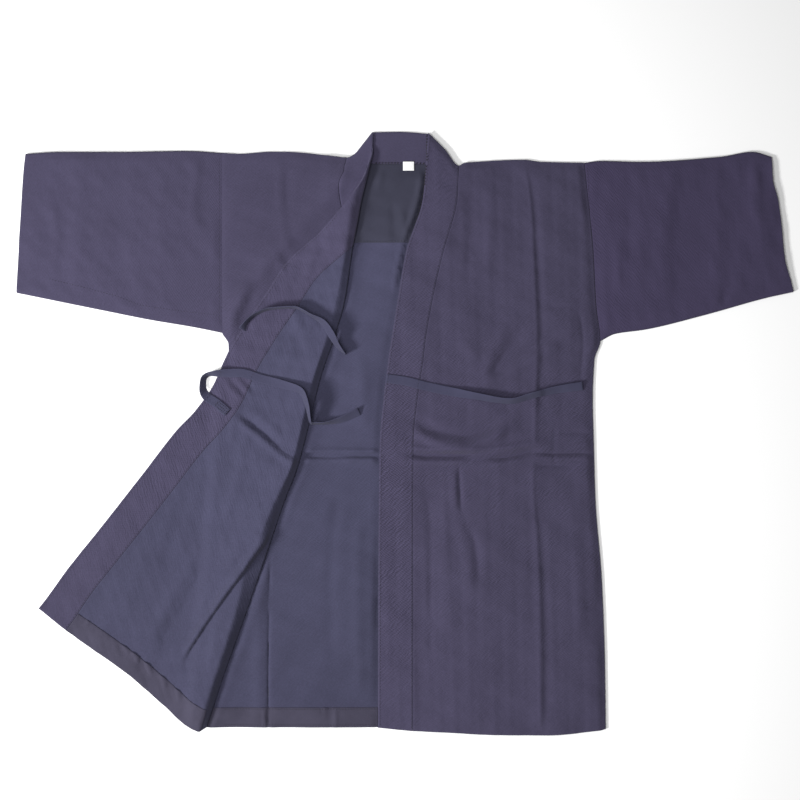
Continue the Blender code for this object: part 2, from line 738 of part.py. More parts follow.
def tape(name, route):
    """A flat tape laid over whatever is below its route, and turned on its edge where the route says."""
    stops = [0.0]
    for a, b in zip(route, route[1:]):
        stops.append(stops[-1] + hypot(b.x - a.x, b.y - a.y))
    table = [Stop(at, *point) for at, point in zip(stops, route)]
    count = round(stops[-1] / TAPE_STEP)
    places = spread(0, stops[-1], count)
    points = [[read(table, axis, at) for axis in ("x", "y", "turn")] for at in places]
    frames = []
    for n, (x, y, turn) in enumerate(points):
        before, after = points[max(n - 1, 0)], points[min(n + 1, count)]
        run = Vector((after[0] - before[0], after[1] - before[1], 0)).normalized()
        side = Vector((-run.y, run.x, 0))
        half = TAPE_WIDTH / 2 * cos(radians(turn)) + TAPE
        centre = Vector((x, y, 0))
        near = []
        for w in spread(-half, half, TAPE_FEELERS):
            near += [centre + side * w + run * v for v in spread(-TAPE_STEP, TAPE_STEP, TAPE_FEELERS)]
        frames.append((centre, side, radians(turn), max(top_at(p.x, p.y) for p in near)))
    grids = [], []
    for n, (centre, side, turn, _) in enumerate(frames):
        floor = max(f[3] - TAPE_SLOPE * abs(places[m] - places[n]) for m, f in enumerate(frames))
        middle = floor + 2 * GAP + TAPE_WIDTH / 2 * abs(sin(turn)) + TAPE / 2 * cos(turn)
        across = side * cos(turn) + Vector((0, 0, sin(turn)))
        face = Vector((0, 0, cos(turn))) - side * sin(turn)
        for grid, sign in zip(grids, (-1, 1)):
            core = centre + Vector((0, 0, middle)) + face * sign * TAPE / 2
            grid.append([core - across * TAPE_WIDTH / 2, core + across * TAPE_WIDTH / 2])
    return name, grids


def build_ties():
    laid = [tape("tie_upper", UPPER_TIE), tape("tie_lower", LOWER_TIE), tape("tie_left", LEFT_TIE)]
    for name, (lower, upper) in laid:
        wall(name, lower, upper, INDIGO, TAPE_ROUGH)


clear_scene()
build_back()
build_neck()
build_right_front()
build_left_front()
build_sleeves()
build_ties()
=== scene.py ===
"""A woven cotton kendo jacket, laid flat with its right front turned open.

Metres. +X runs to the viewer's right, +Y from the hem to the collar, +Z up from the surface
that the jacket lies on. The wearer's right front is on the viewer's left.
"""

from collections import namedtuple
from math import cos, hypot, pi, sin

import bmesh
import bpy
import numpy as np
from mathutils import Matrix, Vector
from mathutils.bvhtree import BVHTree


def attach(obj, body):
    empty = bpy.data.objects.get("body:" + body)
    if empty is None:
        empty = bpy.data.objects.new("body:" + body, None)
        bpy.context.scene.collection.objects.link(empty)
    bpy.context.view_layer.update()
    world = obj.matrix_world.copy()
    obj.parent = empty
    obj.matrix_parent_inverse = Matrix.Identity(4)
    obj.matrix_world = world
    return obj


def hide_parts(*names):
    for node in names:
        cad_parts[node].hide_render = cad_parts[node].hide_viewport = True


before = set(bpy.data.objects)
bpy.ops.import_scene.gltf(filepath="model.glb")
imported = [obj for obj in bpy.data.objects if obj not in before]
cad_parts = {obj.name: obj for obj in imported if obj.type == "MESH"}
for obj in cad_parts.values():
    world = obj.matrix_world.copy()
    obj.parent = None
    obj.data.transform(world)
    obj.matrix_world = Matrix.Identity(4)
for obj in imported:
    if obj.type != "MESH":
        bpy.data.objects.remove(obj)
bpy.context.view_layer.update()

bl_info = {
    "name": "Kendo jacket",
    "version": (1, 0, 0),
    "blender": (4, 5, 0),
    "location": "3D View > Sidebar > Jacket",
    "description": "Sews a kendo jacket that lies flat with one front turned open",
    "category": "Add Mesh",
}

# Air between two cloths that lie on each other, and between the turned front and what it rests on.
GAP = 0.0003
LAYER_GAP = 0.0005
# The hem facings, the upper back lining, the neck opening and the tag, as they lie.
FACING_WIDTH = 0.029
YOKE_BOTTOM = 0.2762
YOKE_LEFT = -0.0870
YOKE_RIGHT = 0.0725
NECK_LEFT = -0.0986
NECK_RIGHT = 0.0797
NECK_LEFT_POINT = -0.0844
NECK_RIGHT_POINT = 0.0870
LABEL_LEFT = -0.0029
LABEL_RIGHT = 0.0131
LABEL_TOP = 0.3937
LABEL_BOTTOM = 0.3807
LINING_LENGTH = 0.114
NECK_LENGTH = 0.155
NECK_WIDTH = 0.045
SLEEVE_LENGTH = 0.29
# A layer that passes over an edge stays level for STEP_OUT beyond it, then comes down over
# STEP_RUN.
STEP_OUT = 0.008
STEP_RUN = 0.020
# The turned front comes down from its roll to rest over this length.
ROLL_RUN = 0.034
# Shoulder and hem lines slant the nearest sections over this length.
SLANT_RUN = 0.075
# Beyond its crest the turned front sinks back over this length.
CREST_SINK = 0.048
# Beside the roll the back climbs by ROLL_LIFT: from ROLL_FOOT away it rises over ROLL_CLIMB, then
# sinks over ROLL_SINK.
ROLL_LIFT = 0.0024
ROLL_FOOT = 0.0015
ROLL_CLIMB = 0.004
ROLL_SINK = 0.012
# Cloths that are sewn together stand this far apart.
SEAM = 0.00004
# Creases fade out towards a sewn edge over this length.
FADE_IN = 0.012


def rows(kind, *values):
    """A table of the object's measures, each row with named columns."""
    return tuple(kind(*value) for value in values)


# heading and curl are in degrees; reach and band are measured across the cloth, beyond the roll.
Right = namedtuple("Right", "level side fold reach heading curl roll band")
RIGHT_FRONT = rows(
    Right,
    (0.3995, -0.2653, -0.0464, 0.0000, 150.0, 0.0, 0.0032, 0.038),
    (0.3908, -0.2653, -0.0464, 0.0000, 150.0, 0.0, 0.0032, 0.040),
    (0.3806, -0.2653, -0.0478, 0.0003, 150.0, 100.0, 0.0032, 0.043),
    (0.3676, -0.2653, -0.0535, 0.0010, 150.0, 145.0, 0.0032, 0.046),
    (0.3386, -0.2653, -0.0635, 0.0125, 150.0, 145.0, 0.0032, 0.048),
    (0.3067, -0.2653, -0.0696, 0.0288, 150.5, 145.0, 0.0031, 0.049),
    (0.2719, -0.2653, -0.0761, 0.0472, 150.0, 145.0, 0.0030, 0.049),
    (0.1892, -0.2653, -0.0885, 0.1010, 151.0, 145.0, 0.0028, 0.049),
    (0.1470, -0.2650, -0.1010, 0.1130, 149.8, 145.0, 0.0027, 0.049),
    (0.1300, -0.2558, -0.1063, 0.1185, 149.4, 145.0, 0.0027, 0.049),
    (0.0906, -0.2552, -0.1203, 0.1288, 149.1, 145.0, 0.0027, 0.049),
    (0.0413, -0.2566, -0.1334, 0.1430, 149.0, 145.0, 0.0026, 0.049),
    (-0.0094, -0.2596, -0.1457, 0.1530, 148.8, 145.0, 0.0025, 0.049),
    (-0.0529, -0.2624, -0.1580, 0.1683, 149.3, 145.0, 0.0024, 0.049),
    (-0.0964, -0.2653, -0.1750, 0.1850, 147.3, 145.0, 0.0022, 0.049),
    (-0.1834, -0.2726, -0.2044, 0.2150, 146.3, 145.0, 0.0020, 0.049),
    (-0.2704, -0.2828, -0.2349, 0.2445, 145.3, 145.0, 0.0018, 0.049),
    (-0.3574, -0.2915, -0.2660, 0.2745, 144.3, 145.0, 0.0016, 0.049),
    (-0.4256, -0.2960, -0.2880, 0.2995, 143.9, 145.0, 0.0016, 0.049),
)
SHOULDER = RIGHT_FRONT[0].level
HEM = RIGHT_FRONT[-1].level

Left = namedtuple("Left", "level edge seam side")
LEFT_FRONT = rows(
    Left,
    (0.3922, 0.0340, 0.0777, 0.2596),
    (0.3386, 0.0267, 0.0754, 0.2653),
    (0.3009, 0.0142, 0.0667, 0.2693),
    (0.2661, 0.0022, 0.0562, 0.2726),
    (0.1849, -0.0119, 0.0380, 0.2769),
    (0.1341, -0.0200, 0.0295, 0.2828),
    (0.1066, -0.0241, 0.0262, 0.2742),
    (0.0486, -0.0310, 0.0178, 0.2718),
    (-0.0094, -0.0362, 0.0122, 0.2732),
    (-0.0964, -0.0377, 0.0116, 0.2758),
    (-0.2124, -0.0384, 0.0116, 0.2850),
    (-0.3284, -0.0388, 0.0116, 0.2893),
    (-0.4299, -0.0391, 0.0116, 0.2907),
)
LEFT_TOP_LEVEL = LEFT_FRONT[0].level
LEFT_BOTTOM_LEVEL = LEFT_FRONT[-1].level

Line = namedtuple("Line", "x y")
RIGHT_SHOULDER = rows(
    Line,
    (-0.2653, 0.4067),
    (-0.2392, 0.4053),
    (-0.1957, 0.4082),
    (-0.1740, 0.4082),
    (-0.1087, 0.4024),
    (-0.0844, 0.3995),
    (-0.0464, 0.4343),
)
LEFT_SHOULDER = rows(
    Line,
    (0.0340, 0.4350),
    (0.0580, 0.4110),
    (0.0777, 0.3879),
    (0.0870, 0.3922),
    (0.1740, 0.3966),
    (0.1957, 0.3937),
    (0.2596, 0.3922),
)
NECK_SEAM = rows(
    Line,
    (-0.0797, 0.3960),
    (-0.0640, 0.3912),
    (-0.0450, 0.3906),
    (0.0000, 0.3906),
    (0.0330, 0.3898),
    (0.0754, 0.3868),
)
NECK_EDGE = rows(
    Line,
    (-0.0478, 0.4366),
    (-0.0072, 0.4372),
    (0.0348, 0.4343),
)
LEFT_HEM = rows(
    Line,
    (-0.0391, -0.4256),
    (0.0116, -0.4305),
    (0.0653, -0.4328),
    (0.1087, -0.4357),
    (0.1957, -0.4372),
    (0.2828, -0.4299),
    (0.2900, -0.4282),
)
# How far the hem of the turned front sags below its straight line, by distance from the roll.
RIGHT_HEM_SAG = rows(
    Line,
    (0.000, 0.000),
    (0.012, 0.0105),
    (0.040, 0.0155),
    (0.072, 0.0120),
    (0.150, 0.0050),
    (0.250, 0.0070),
    (0.300, 0.0040),
)
# The turned front climbs from its fold to this line, the crest of the loose roll.
Crest = namedtuple("Crest", "y x height")
FOLD_CREST = rows(
    Crest,
    (0.3900, -0.0560, 0.0000),
    (0.3700, -0.0620, 0.0045),
    (0.3480, -0.0730, 0.0060),
    (0.3147, -0.0800, 0.0064),
    (0.2700, -0.0855, 0.0064),
    (0.2000, -0.0975, 0.0062),
    (0.1300, -0.1160, 0.0066),
    (0.0600, -0.1385, 0.0074),
    (0.0000, -0.1520, 0.0072),
    (-0.0300, -0.1590, 0.0072),
    (-0.0467, -0.1635, 0.0084),
    (-0.0726, -0.1755, 0.0098),
    (-0.0979, -0.1875, 0.0110),
    (-0.1240, -0.1985, 0.0122),
    (-0.1501, -0.2085, 0.0120),
    (-0.1834, -0.2262, 0.0120),
    (-0.2023, -0.2320, 0.0120),
    (-0.2279, -0.2366, 0.0120),
    (-0.2539, -0.2432, 0.0118),
    (-0.2797, -0.2510, 0.0110),
    (-0.3052, -0.2588, 0.0102),
    (-0.3313, -0.2682, 0.0094),
    (-0.3574, -0.2765, 0.0088),
    (-0.3835, -0.2847, 0.0084),
    (-0.4092, -0.2930, 0.0082),
    (-0.4256, -0.2975, 0.0076),
)

RIGHT_CUFF = rows(
    Line,
    (-0.5495, 0.4053),
    (-0.5524, 0.3792),
    (-0.5568, 0.3096),
    (-0.5626, 0.2037),
)
RIGHT_TOP = rows(
    Line,
    (-0.2646, 0.4067),
    (-0.3146, 0.4096),
    (-0.4132, 0.4082),
    (-0.5002, 0.4082),
    (-0.5495, 0.4053),
)
RIGHT_UNDER = rows(
    Line,
    (-0.2646, 0.1457),
    (-0.3045, 0.1538),
    (-0.3697, 0.1648),
    (-0.4350, 0.1778),
    (-0.5626, 0.2037),
)
LEFT_CUFF = rows(
    Line,
    (0.5307, 0.4009),
    (0.5322, 0.3676),
    (0.5398, 0.3386),
    (0.5440, 0.3096),
    (0.5498, 0.2516),
    (0.5582, 0.2226),
    (0.5626, 0.2050),
)
LEFT_TOP = rows(
    Line,
    (0.2599, 0.3922),
    (0.2828, 0.3951),
    (0.3407, 0.3937),
    (0.4567, 0.4009),
    (0.5031, 0.4082),
    (0.5307, 0.4009),
)
LEFT_UNDER = rows(
    Line,
    (0.2831, 0.1341),
    (0.3045, 0.1443),
    (0.3480, 0.1505),
    (0.4350, 0.1718),
    (0.5220, 0.1960),
    (0.5626, 0.2050),
)
# Distance between the two walls of a sleeve, from its armhole to its cuff.
SLEEVE_LOFT = rows(Line, (0.0, 0.0018), (0.3, 0.0030), (1.0, 0.0034))
SLEEVE_SWELL = 0.0014

# A tape's route: turn 0 lies flat, turn 90 stands on its edge.
Route = namedtuple("Route", "x y turn")
Stop = namedtuple("Stop", "at x y turn")
UPPER_TIE = rows(
    Route,
    (-0.2350, 0.1500, 40),
    (-0.2291, 0.1602, 70),
    (-0.2131, 0.1733, 77),
    (-0.1914, 0.1805, 78),
    (-0.1602, 0.1820, 78),
    (-0.1363, 0.1711, 76),
    (-0.1180, 0.1602, 50),
    (-0.1073, 0.1449, 38),
    (-0.0971, 0.1269, 60),
    (-0.0863, 0.1145, 84),
)
LOWER_TIE = rows(
    Route,
    (-0.2566, 0.0304, 0),
    (-0.2726, 0.0442, 0),
    (-0.2870, 0.0540, 15),
    (-0.2925, 0.0660, 46),
    (-0.2915, 0.0790, 56),
    (-0.2828, 0.0862, 66),
    (-0.2682, 0.0870, 40),
    (-0.2392, 0.0877, 10),
    (-0.2073, 0.0790, 0),
    (-0.1740, 0.0703, 20),
    (-0.1493, 0.0616, 48),
    (-0.1406, 0.0413, 62),
    (-0.1348, 0.0150, 76),
    (-0.1203, 0.0150, 76),
    (-0.0943, 0.0196, 50),
    (-0.0667, 0.0326, 25),
)
LEFT_TIE = rows(
    Route,
    (-0.0275, 0.0800, 0),
    (0.0000, 0.0761, 0),
    (0.0290, 0.0689, 0),
    (0.0623, 0.0616, 8),
    (0.1015, 0.0544, 40),
    (0.1522, 0.0471, 52),
    (0.1812, 0.0544, 50),
    (0.2175, 0.0631, 36),
    (0.2566, 0.0689, 16),
)
TAPE_STEP = 0.004
# A tape comes down from what it lies on no steeper than this.
TAPE_SLOPE = 0.8
TAPE_COLUMNS = 6
# Rows close to its ends, and how many places across it feel for what lies below.
TAPE_ENDS = np.array([0.0, 0.0002, 0.0006])
TAPE_FEELERS = 7

# A crease: how high it stands (below 0 it is a valley), how wide it is, how soft (1 soft, 0
# sharp), and the line that it follows, in millimetres.
Crease = namedtuple("Crease", "height width soft line")
# At both ends it fades over this share of its length, or this far, to this share of its height.
FADE_SHARE = 0.3
FADE_MOST = 0.03
END_HEIGHT = 0.15
TURNED_CREASES = rows(
    Crease,
    (0.0054, 0.0062, 1, ((-247, 26), (-225, 9), (-207, -5), (-191, -19), (-173, -34), (-140, -48))),
    (-0.0080, 0.0040, 0,
     ((-243, 31), (-222, 14), (-204, 0), (-188, -14), (-171, -29), (-160, -31), (-120, -33))),
    (0.0026, 0.0080, 1, ((-226, 36), (-200, 14), (-172, -10))),
    (0.0110, 0.0068, 1,
     ((-194, -140), (-200, -153), (-229, -191), (-266, -241), (-303, -295), (-322, -326))),
    (-0.0150, 0.0068, 0,
     ((-192, -146), (-196, -157), (-224, -196), (-261, -246), (-298, -300), (-318, -330))),
    (-0.0024, 0.0110, 1, ((-278, -190), (-329, -276), (-355, -334))),
    (0.0016, 0.0100, 1, ((-300, -170), (-350, -262), (-376, -310))),
    (0.0018, 0.0050, 1, ((-262, 78), (-244, 58), (-232, 46))),
    (-0.0016, 0.0040, 1, ((-257, 82), (-240, 65), (-228, 52))),
    (0.0018, 0.0045, 1, ((-250, 86), (-232, 68), (-222, 54))),
    (-0.0014, 0.0040, 1, ((-244, 86), (-228, 72), (-216, 60))),
    (0.0018, 0.0090, 1, ((-170, 190), (-142, 140), (-128, 100))),
    (-0.0014, 0.0080, 1, ((-150, 196), (-128, 176), (-112, 150))),
    (0.0012, 0.0070, 1, ((-120, 280), (-136, 240), (-160, 200))),
    (0.0012, 0.0100, 1, ((-230, 10), (-236, -60), (-262, -130))),
    (-0.0010, 0.0100, 1, ((-300, -60), (-330, -120), (-350, -190))),
)
LOWER_CREASES = rows(
    Crease,
    (0.0042, 0.0120, 1,
     ((-76, 388), (-104, 350), (-132, 316), (-160, 287), (-194, 256), (-222, 212))),
    (0.0020, 0.0036, 0, ((-181, 408), (-180, 337), (-175, 290), (-168, 266), (-158, 258))),
    (0.0016, 0.0036, 1, ((-188, 268), (-180, 243), (-170, 226))),
    (-0.0012, 0.0060, 1, ((-172, 400), (-172, 300), (-160, 276))),
    (-0.0012, 0.0050, 1, ((-178, 262), (-170, 250), (-160, 244))),
    (0.0014, 0.0070, 1, ((-215, 226), (-228, 205), (-236, 180))),
    (0.0050, 0.0090, 1, ((-226, 226), (-239, 195), (-249, 166), (-256, 136))),
    (-0.0030, 0.0080, 1, ((-218, 206), (-231, 178), (-241, 150))),
    (0.0008, 0.0100, 1, ((-120, 395), (-124, 360), (-136, 330))),
)
LEFT_CREASES = rows(
    Crease,
    (0.0022, 0.0042, 0,
     ((173, 392), (183, 330), (186, 247), (191, 149), (190, 76), (188, 30), (187, -27))),
    (0.0022, 0.0042, 0,
     ((187, -27), (184, -76), (190, -137), (194, -210), (196, -286), (196, -436))),
    (-0.0018, 0.0070, 1, ((180, 380), (191, 280), (199, 150), (197, 20))),
    (-0.0016, 0.0070, 1, ((194, -90), (200, -200), (206, -300), (206, -420))),
    (-0.0052, 0.0028, 0, ((-6, -30), (46, -32), (106, -31))),
    (0.0026, 0.0040, 1, ((0, -39), (46, -41), (98, -40))),
    (-0.0056, 0.0028, 0, ((112, -38), (150, -33), (176, -27), (200, -20))),
    (0.0026, 0.0040, 1, ((116, -46), (152, -41), (180, -35))),
    (-0.0034, 0.0024, 0, ((180, -28), (222, -29), (280, -28))),
    (0.0016, 0.0032, 1, ((186, -35), (222, -36), (280, -35))),
    (-0.0030, 0.0024, 0, ((181, -47), (214, -46), (250, -48))),
    (-0.0024, 0.0024, 0, ((208, 1), (246, 1), (282, 0))),
    (0.0056, 0.0080, 1, ((6, 8), (46, -15), (86, -19), (122, -9), (156, 12))),
    (-0.0036, 0.0070, 1, ((8, 24), (48, 2), (84, -1), (116, 9), (150, 26))),
    (0.0036, 0.0044, 1, ((200, -11), (150, -20), (110, -23), (60, -23), (0, -21))),
    (-0.0030, 0.0034, 1, ((78, -38), (79, -80), (82, -118))),
    (0.0014, 0.0060, 1, ((70, -50), (70, -84), (72, -118))),
    (-0.0016, 0.0060, 1, ((86, -122), (104, -162), (108, -222))),
    (0.0012, 0.0080, 1, ((74, -126), (90, -170), (94, -240))),
    (-0.0014, 0.0050, 1, ((33, -84), (37, -138), (37, -240), (36, -330))),
    (0.0012, 0.0100, 1, ((56, -80), (60, -160), (66, -300))),
    (0.0028, 0.0085, 1, ((232, 134), (186, 110), (148, 86), (104, 64))),
    (-0.0028, 0.0085, 1, ((232, 152), (186, 126), (150, 104), (112, 82))),
    (0.0022, 0.0100, 1, ((150, 164), (126, 112), (108, 70))),
    (-0.0022, 0.0100, 1, ((172, 156), (148, 110), (128, 66))),
    (0.0014, 0.0100, 1, ((80, 140), (92, 124), (104, 100))),
    (-0.0018, 0.0032, 0, ((250, 184), (259, 140), (256, 100), (252, 60))),
    (-0.0012, 0.0030, 0, ((200, 183), (226, 184), (250, 184))),
    (-0.0014, 0.0030, 1, ((258, -254), (274, -252), (288, -254))),
    (-0.0012, 0.0040, 1, ((218, 20), (214, -20), (218, -60))),
    (0.0014, 0.0090, 1, ((240, -90), (246, -180), (256, -300))),
    (0.0012, 0.0090, 1, ((120, 370), (124, 300), (118, 220))),
    (-0.0010, 0.0080, 1, ((90, 360), (96, 290), (86, 200))),
)
FACING_CREASES = rows(
    Crease,
    (-0.0018, 0.0022, 0, ((-416, -306), (-402, -324))),
    (0.0016, 0.0030, 1, ((-410, -304), (-397, -322))),
    (-0.0018, 0.0022, 0, ((-401, -314), (-391, -332))),
    (0.0020, 0.0030, 1, ((-395, -314), (-384, -334))),
    (-0.0020, 0.0026, 0, ((-387, -324), (-372, -352))),
    (0.0018, 0.0030, 1, ((-380, -322), (-366, -350))),
    (-0.0018, 0.0024, 0, ((-337, -360), (-333, -386))),
    (0.0016, 0.0034, 1, ((-330, -360), (-326, -386))),
    (0.0014, 0.0034, 1, ((-352, -346), (-346, -372))),
    (-0.0016, 0.0024, 0, ((-212, -394), (-210, -428))),
    (0.0014, 0.0030, 1, ((-204, -394), (-203, -428))),
    (-0.0016, 0.0024, 0, ((-194, -394), (-195, -428))),
    (-0.0014, 0.0022, 0, ((-109, -394), (-107, -428))),
    (0.0012, 0.0034, 1, ((-101, -394), (-100, -428))),
)
BACK_CREASES = rows(
    Crease,
    (-0.0050, 0.0024, 0, ((-190, -32), (-120, -31), (-80, -31), (-10, -32))),
    (0.0020, 0.0034, 1, ((-190, -26), (-100, -25), (-10, -26))),
    (0.0026, 0.0040, 1, ((-190, -39), (-100, -38), (-10, -39))),
    (0.0050, 0.0044, 1, ((27, 389), (22, 350), (11, 312), (-1, 282))),
    (0.0030, 0.0030, 1, ((-1, 282), (-10, 240), (-16, 200))),
    (-0.0014, 0.0060, 1, ((-150, -12), (-100, -14), (-36, -12))),
    (-0.0022, 0.0018, 0, ((-195, -110), (-196, -230), (-198, -320), (-198, -440))),
    (0.0016, 0.0090, 1, ((-208, -110), (-210, -230), (-212, -320), (-212, -440))),
    (0.0016, 0.0050, 1, ((-29, 389), (-36, 368), (-40, 348))),
    (0.0018, 0.0045, 1, ((-4, 326), (-2, 300), (2, 280))),
    (-0.0014, 0.0050, 1, ((-18, 340), (-16, 300), (-14, 274))),
    (0.0014, 0.0100, 1, ((-66, 130), (-58, 40), (-60, -6))),
    (-0.0014, 0.0080, 1, ((-96, -80), (-110, -200), (-106, -330))),
    (0.0014, 0.0080, 1, ((-66, -120), (-70, -240), (-64, -380))),
)
SLEEVE_RIGHT_CREASES = rows(
    Crease,
    (0.0013, 0.0120, 1, ((-350, 408), (-356, 300), (-350, 170))),
    (0.0014, 0.0150, 1, ((-470, 405), (-474, 320), (-480, 200))),
    (-0.0013, 0.0110, 1, ((-410, 400), (-414, 300), (-400, 180))),
    (0.0013, 0.0080, 1, ((-300, 405), (-304, 360), (-306, 300))),
    (-0.0012, 0.0080, 1, ((-284, 180), (-300, 230), (-330, 250))),
    (0.0010, 0.0070, 1, ((-520, 360), (-500, 290), (-512, 230))),
)
SLEEVE_LEFT_CREASES = rows(
    Crease,
    (0.0016, 0.0120, 1, ((374, 398), (378, 350), (372, 260), (380, 180))),
    (0.0016, 0.0100, 1, ((450, 396), (454, 320), (446, 240), (450, 190))),
    (-0.0016, 0.0060, 1, ((468, 214), (460, 196), (462, 184))),
    (-0.0014, 0.0100, 1, ((330, 392), (320, 330), (326, 240))),
    (0.0016, 0.0100, 1, ((505, 402), (510, 330), (520, 250))),
    (0.0012, 0.0060, 1, ((300, 290), (310, 240), (304, 190))),
    (-0.0012, 0.0100, 1, ((410, 390), (416, 320), (412, 230))),
)

# Lines of stitches in plan, in millimetres: how close and how thick the stitches are. One line
# beside the left band is a dark thread laid as painted shade.
Sewn = namedtuple("Sewn", "name closeness width lines")
SEWN_LINES = (
    Sewn("neck_stitches", 1.0, 0.0022, (
        ((-44, 391.8), (-20, 391.8), (-4, 391.6)),
        ((14.6, 391.4), (34, 391.0)),
        ((31.4, 433), (31.4, 393)),
        # This line is a thick dark thread on the lining beside the left band's inner edge: painted
        # shade of the gap there.
        ((30.6, 388), (28.2, 360), (23.6, 333), (15.0, 303)),
    )),
    Sewn("right_sleeve_stitches", 1.0, 0.0005, (
        ((-516, 224), (-470, 213), (-419, 199.5), (-384, 186), (-330, 178), (-271, 171.5)),
    )),
    Sewn("armhole_stitches", 1.0, 0.0004, (
        ((-268.6, 400), (-268.6, 300), (-268.6, 160)),
    )),
    Sewn("left_side_stitches", 1.0, 0.0005, (
        ((264, 386), (267, 330), (271, 270), (275, 200), (279, 150)),
    )),
    Sewn("facing_stitches", 1.0, 0.0009, (
        ((-262, -398.8), (-200, -398.8), (-120, -398.8), (-42, -398.8)),
        ((-262, -421.5), (-200, -421.5), (-120, -421.5), (-42, -421.5)),
    )),
    Sewn("lining_stitches", 1.0, 0.0009, (((-66, 278.4), (-30, 278.4), (1, 278.4)),)),
    Sewn("tie_stitches", 0.62, 0.0011, (
        ((-254.6, 33.8), (-269.6, 46.6)),
        ((-260.0, 28.4), (-274.6, 41.0)),
        ((-257.4, 31.1), (-272.2, 43.9)),
        ((-254.6, 33.8), (-260.0, 28.4)),
        ((-269.6, 46.6), (-274.6, 41.0)),
    )),
)

# Gentle waves that any laid cloth has: (size, height) pairs, with this many of each.
WAVES = ((0.160, 0.00100), (0.070, 0.00060), (0.026, 0.00028), (0.012, 0.00012))
WAVES_EACH = 5
# Gathers beside a seam, and the slower swell that makes them uneven.
GATHER_SIZES = (0.0085, 0.0130, 0.0210)
SWELL_SIZES = (0.047, 0.083)
GATHER_REACH = 0.006

# How each piece is divided: the distance between its rows, and the count of its columns. The right
# front's columns are counted on the lower layer, round the roll and on the turned part.
DIVIDED = {
    "back": (0.0038, 136),
    "back_lining": (0.0035, 46),
    "back_hem_facing": (0.0025, 100),
    "neck_tag": (0.001, 16),
    "right_front": (0.0033, (30, 14, 124)),
    "right_band": (0.0033, (10, 10, 20)),
    "right_front_hem_facing": (0.0024, 110),
    "left_front": (0.0030, 112),
    "left_band": (0.0030, 20),
}
NECK_ROWS, NECK_COLUMNS = 16, 56
SLEEVE_ROWS, SLEEVE_COLUMNS, SLEEVE_BEND = 84, 84, 6

# How far in from its edge a cloth's face starts to round over, and the steps taken there.
ROUNDING = 0.0006
EDGE_STEPS = np.array([0.0, 0.06, 0.22, 0.5, 1.0])
# A cloth's rim keeps this share of the cloth's thickness.
RIM = 0.16
# Wear fades from an edge over this length.
WEAR_RUN = 0.0016
# Points this close are one point.
MERGE = 0.000004
# A surface is felt this far to each side to find its slope.
FEEL = 0.0002
# A panel rises by this much into the thicker band that it is sewn to, over this length.
SEAM_RISE = 0.0013
SEAM_RUN = 0.007
# Stitches pull a facing's edge down by this much, over this length.
SEWN_DOWN = 0.0007
SEWN_RUN = 0.004

# The press line across the waist lies between these levels, and has rows this close.
WAIST_LOW = -0.044
WAIST_HIGH = -0.018
WAIST_STEP = 0.0012
# Closer columns of the back, where its long crease runs.
CREASE_COLUMNS = np.arange(-0.2035, -0.1825, 0.0014)

STITCH_LENGTH = 0.0028
STITCH_WIDTH = 0.00055
# Half thickness of a stitch along it, as shares, and its sides.
STITCH_RINGS = (0.15, 0.75, 1.0, 0.75, 0.15)
STITCH_SIDES = 6
# A stitch is left out where the cloth steps by more than this, or lies lower than this.
STITCH_STEP = 0.003
STITCH_FLOOR = 0.001

# How deep each woven face's relief is, how strongly its rows show, and how much lighter each metre
# up it and each metre across it is. Across the outside it grows darker towards the viewer's right:
# painted shade of the light's falloff.
Weave = namedtuple("Weave", "depth rows fade lean", defaults=(0.0, 0.0))
OUTSIDE = Weave(0.00040, 0.62, 0.0, -0.28)
BAND = Weave(0.00050, 1.15)
TURNED_BAND = Weave(0.00030, 0.5, 0.40)
SLEEVE = Weave(0.00024, 0.26)
INSIDE = Weave(0.00016, 0.22, 0.40)
# One yarn over and one under, in metres.
COTTON_YARN = 0.00085
LINING_YARN = 0.0007
TAG_YARN = 0.0006
TAPE_RIB = 0.0013
TAPE_PICK = 0.0010
THREAD_TWIST = 0.0006

CAMERA_X = -0.00725
CAMERA_Y = 0.0486
FLOOR_HALF = 4.0

# The pieces made so far, to find what lies below a tape or a stitch, and a height above them all.
layers = []
ABOVE_ALL = 0.1


# Sizes and colours


def length_property(name, description, default):
    return bpy.props.FloatProperty(
        name=name, description=description, default=default, unit="LENGTH"
    )


class JacketSizes(bpy.types.PropertyGroup):
    """Sizes that change how the jacket is cut and woven."""

    cloth: length_property("Cloth", "Thickness of the woven cotton", 0.0015)
    lining: length_property("Lining", "Thickness of the lining and facings", 0.0010)
    band: length_property("Band", "Thickness of the folded collar band", 0.0030)
    tape: length_property("Tape", "Thickness of the tie tape", 0.0012)
    tape_width: length_property("Tape width", "Width of the tie tape", 0.013)
    grain_width: length_property("Grain width", "Width of one raised grain of the weave", 0.0050)
    grain_length: length_property("Grain length", "Length of one raised grain of the weave", 0.0036)
    row_pitch: length_property("Row pitch", "Distance across two rows of the weave", 0.0064)
    relief: bpy.props.FloatProperty(
        name="Relief",
        description="Share of the creases' height",
        default=1.0,
        min=0.0,
        max=2.0,
        subtype="FACTOR",
    )
    stitch: length_property("Stitch", "Distance from one stitch to the next", 0.0042)


def colour_property(name, description, default):
    return bpy.props.FloatVectorProperty(
        name=name,
        description=description,
        default=default,
        subtype="COLOR",
        size=3,
        min=0.0,
        max=1.0,
    )


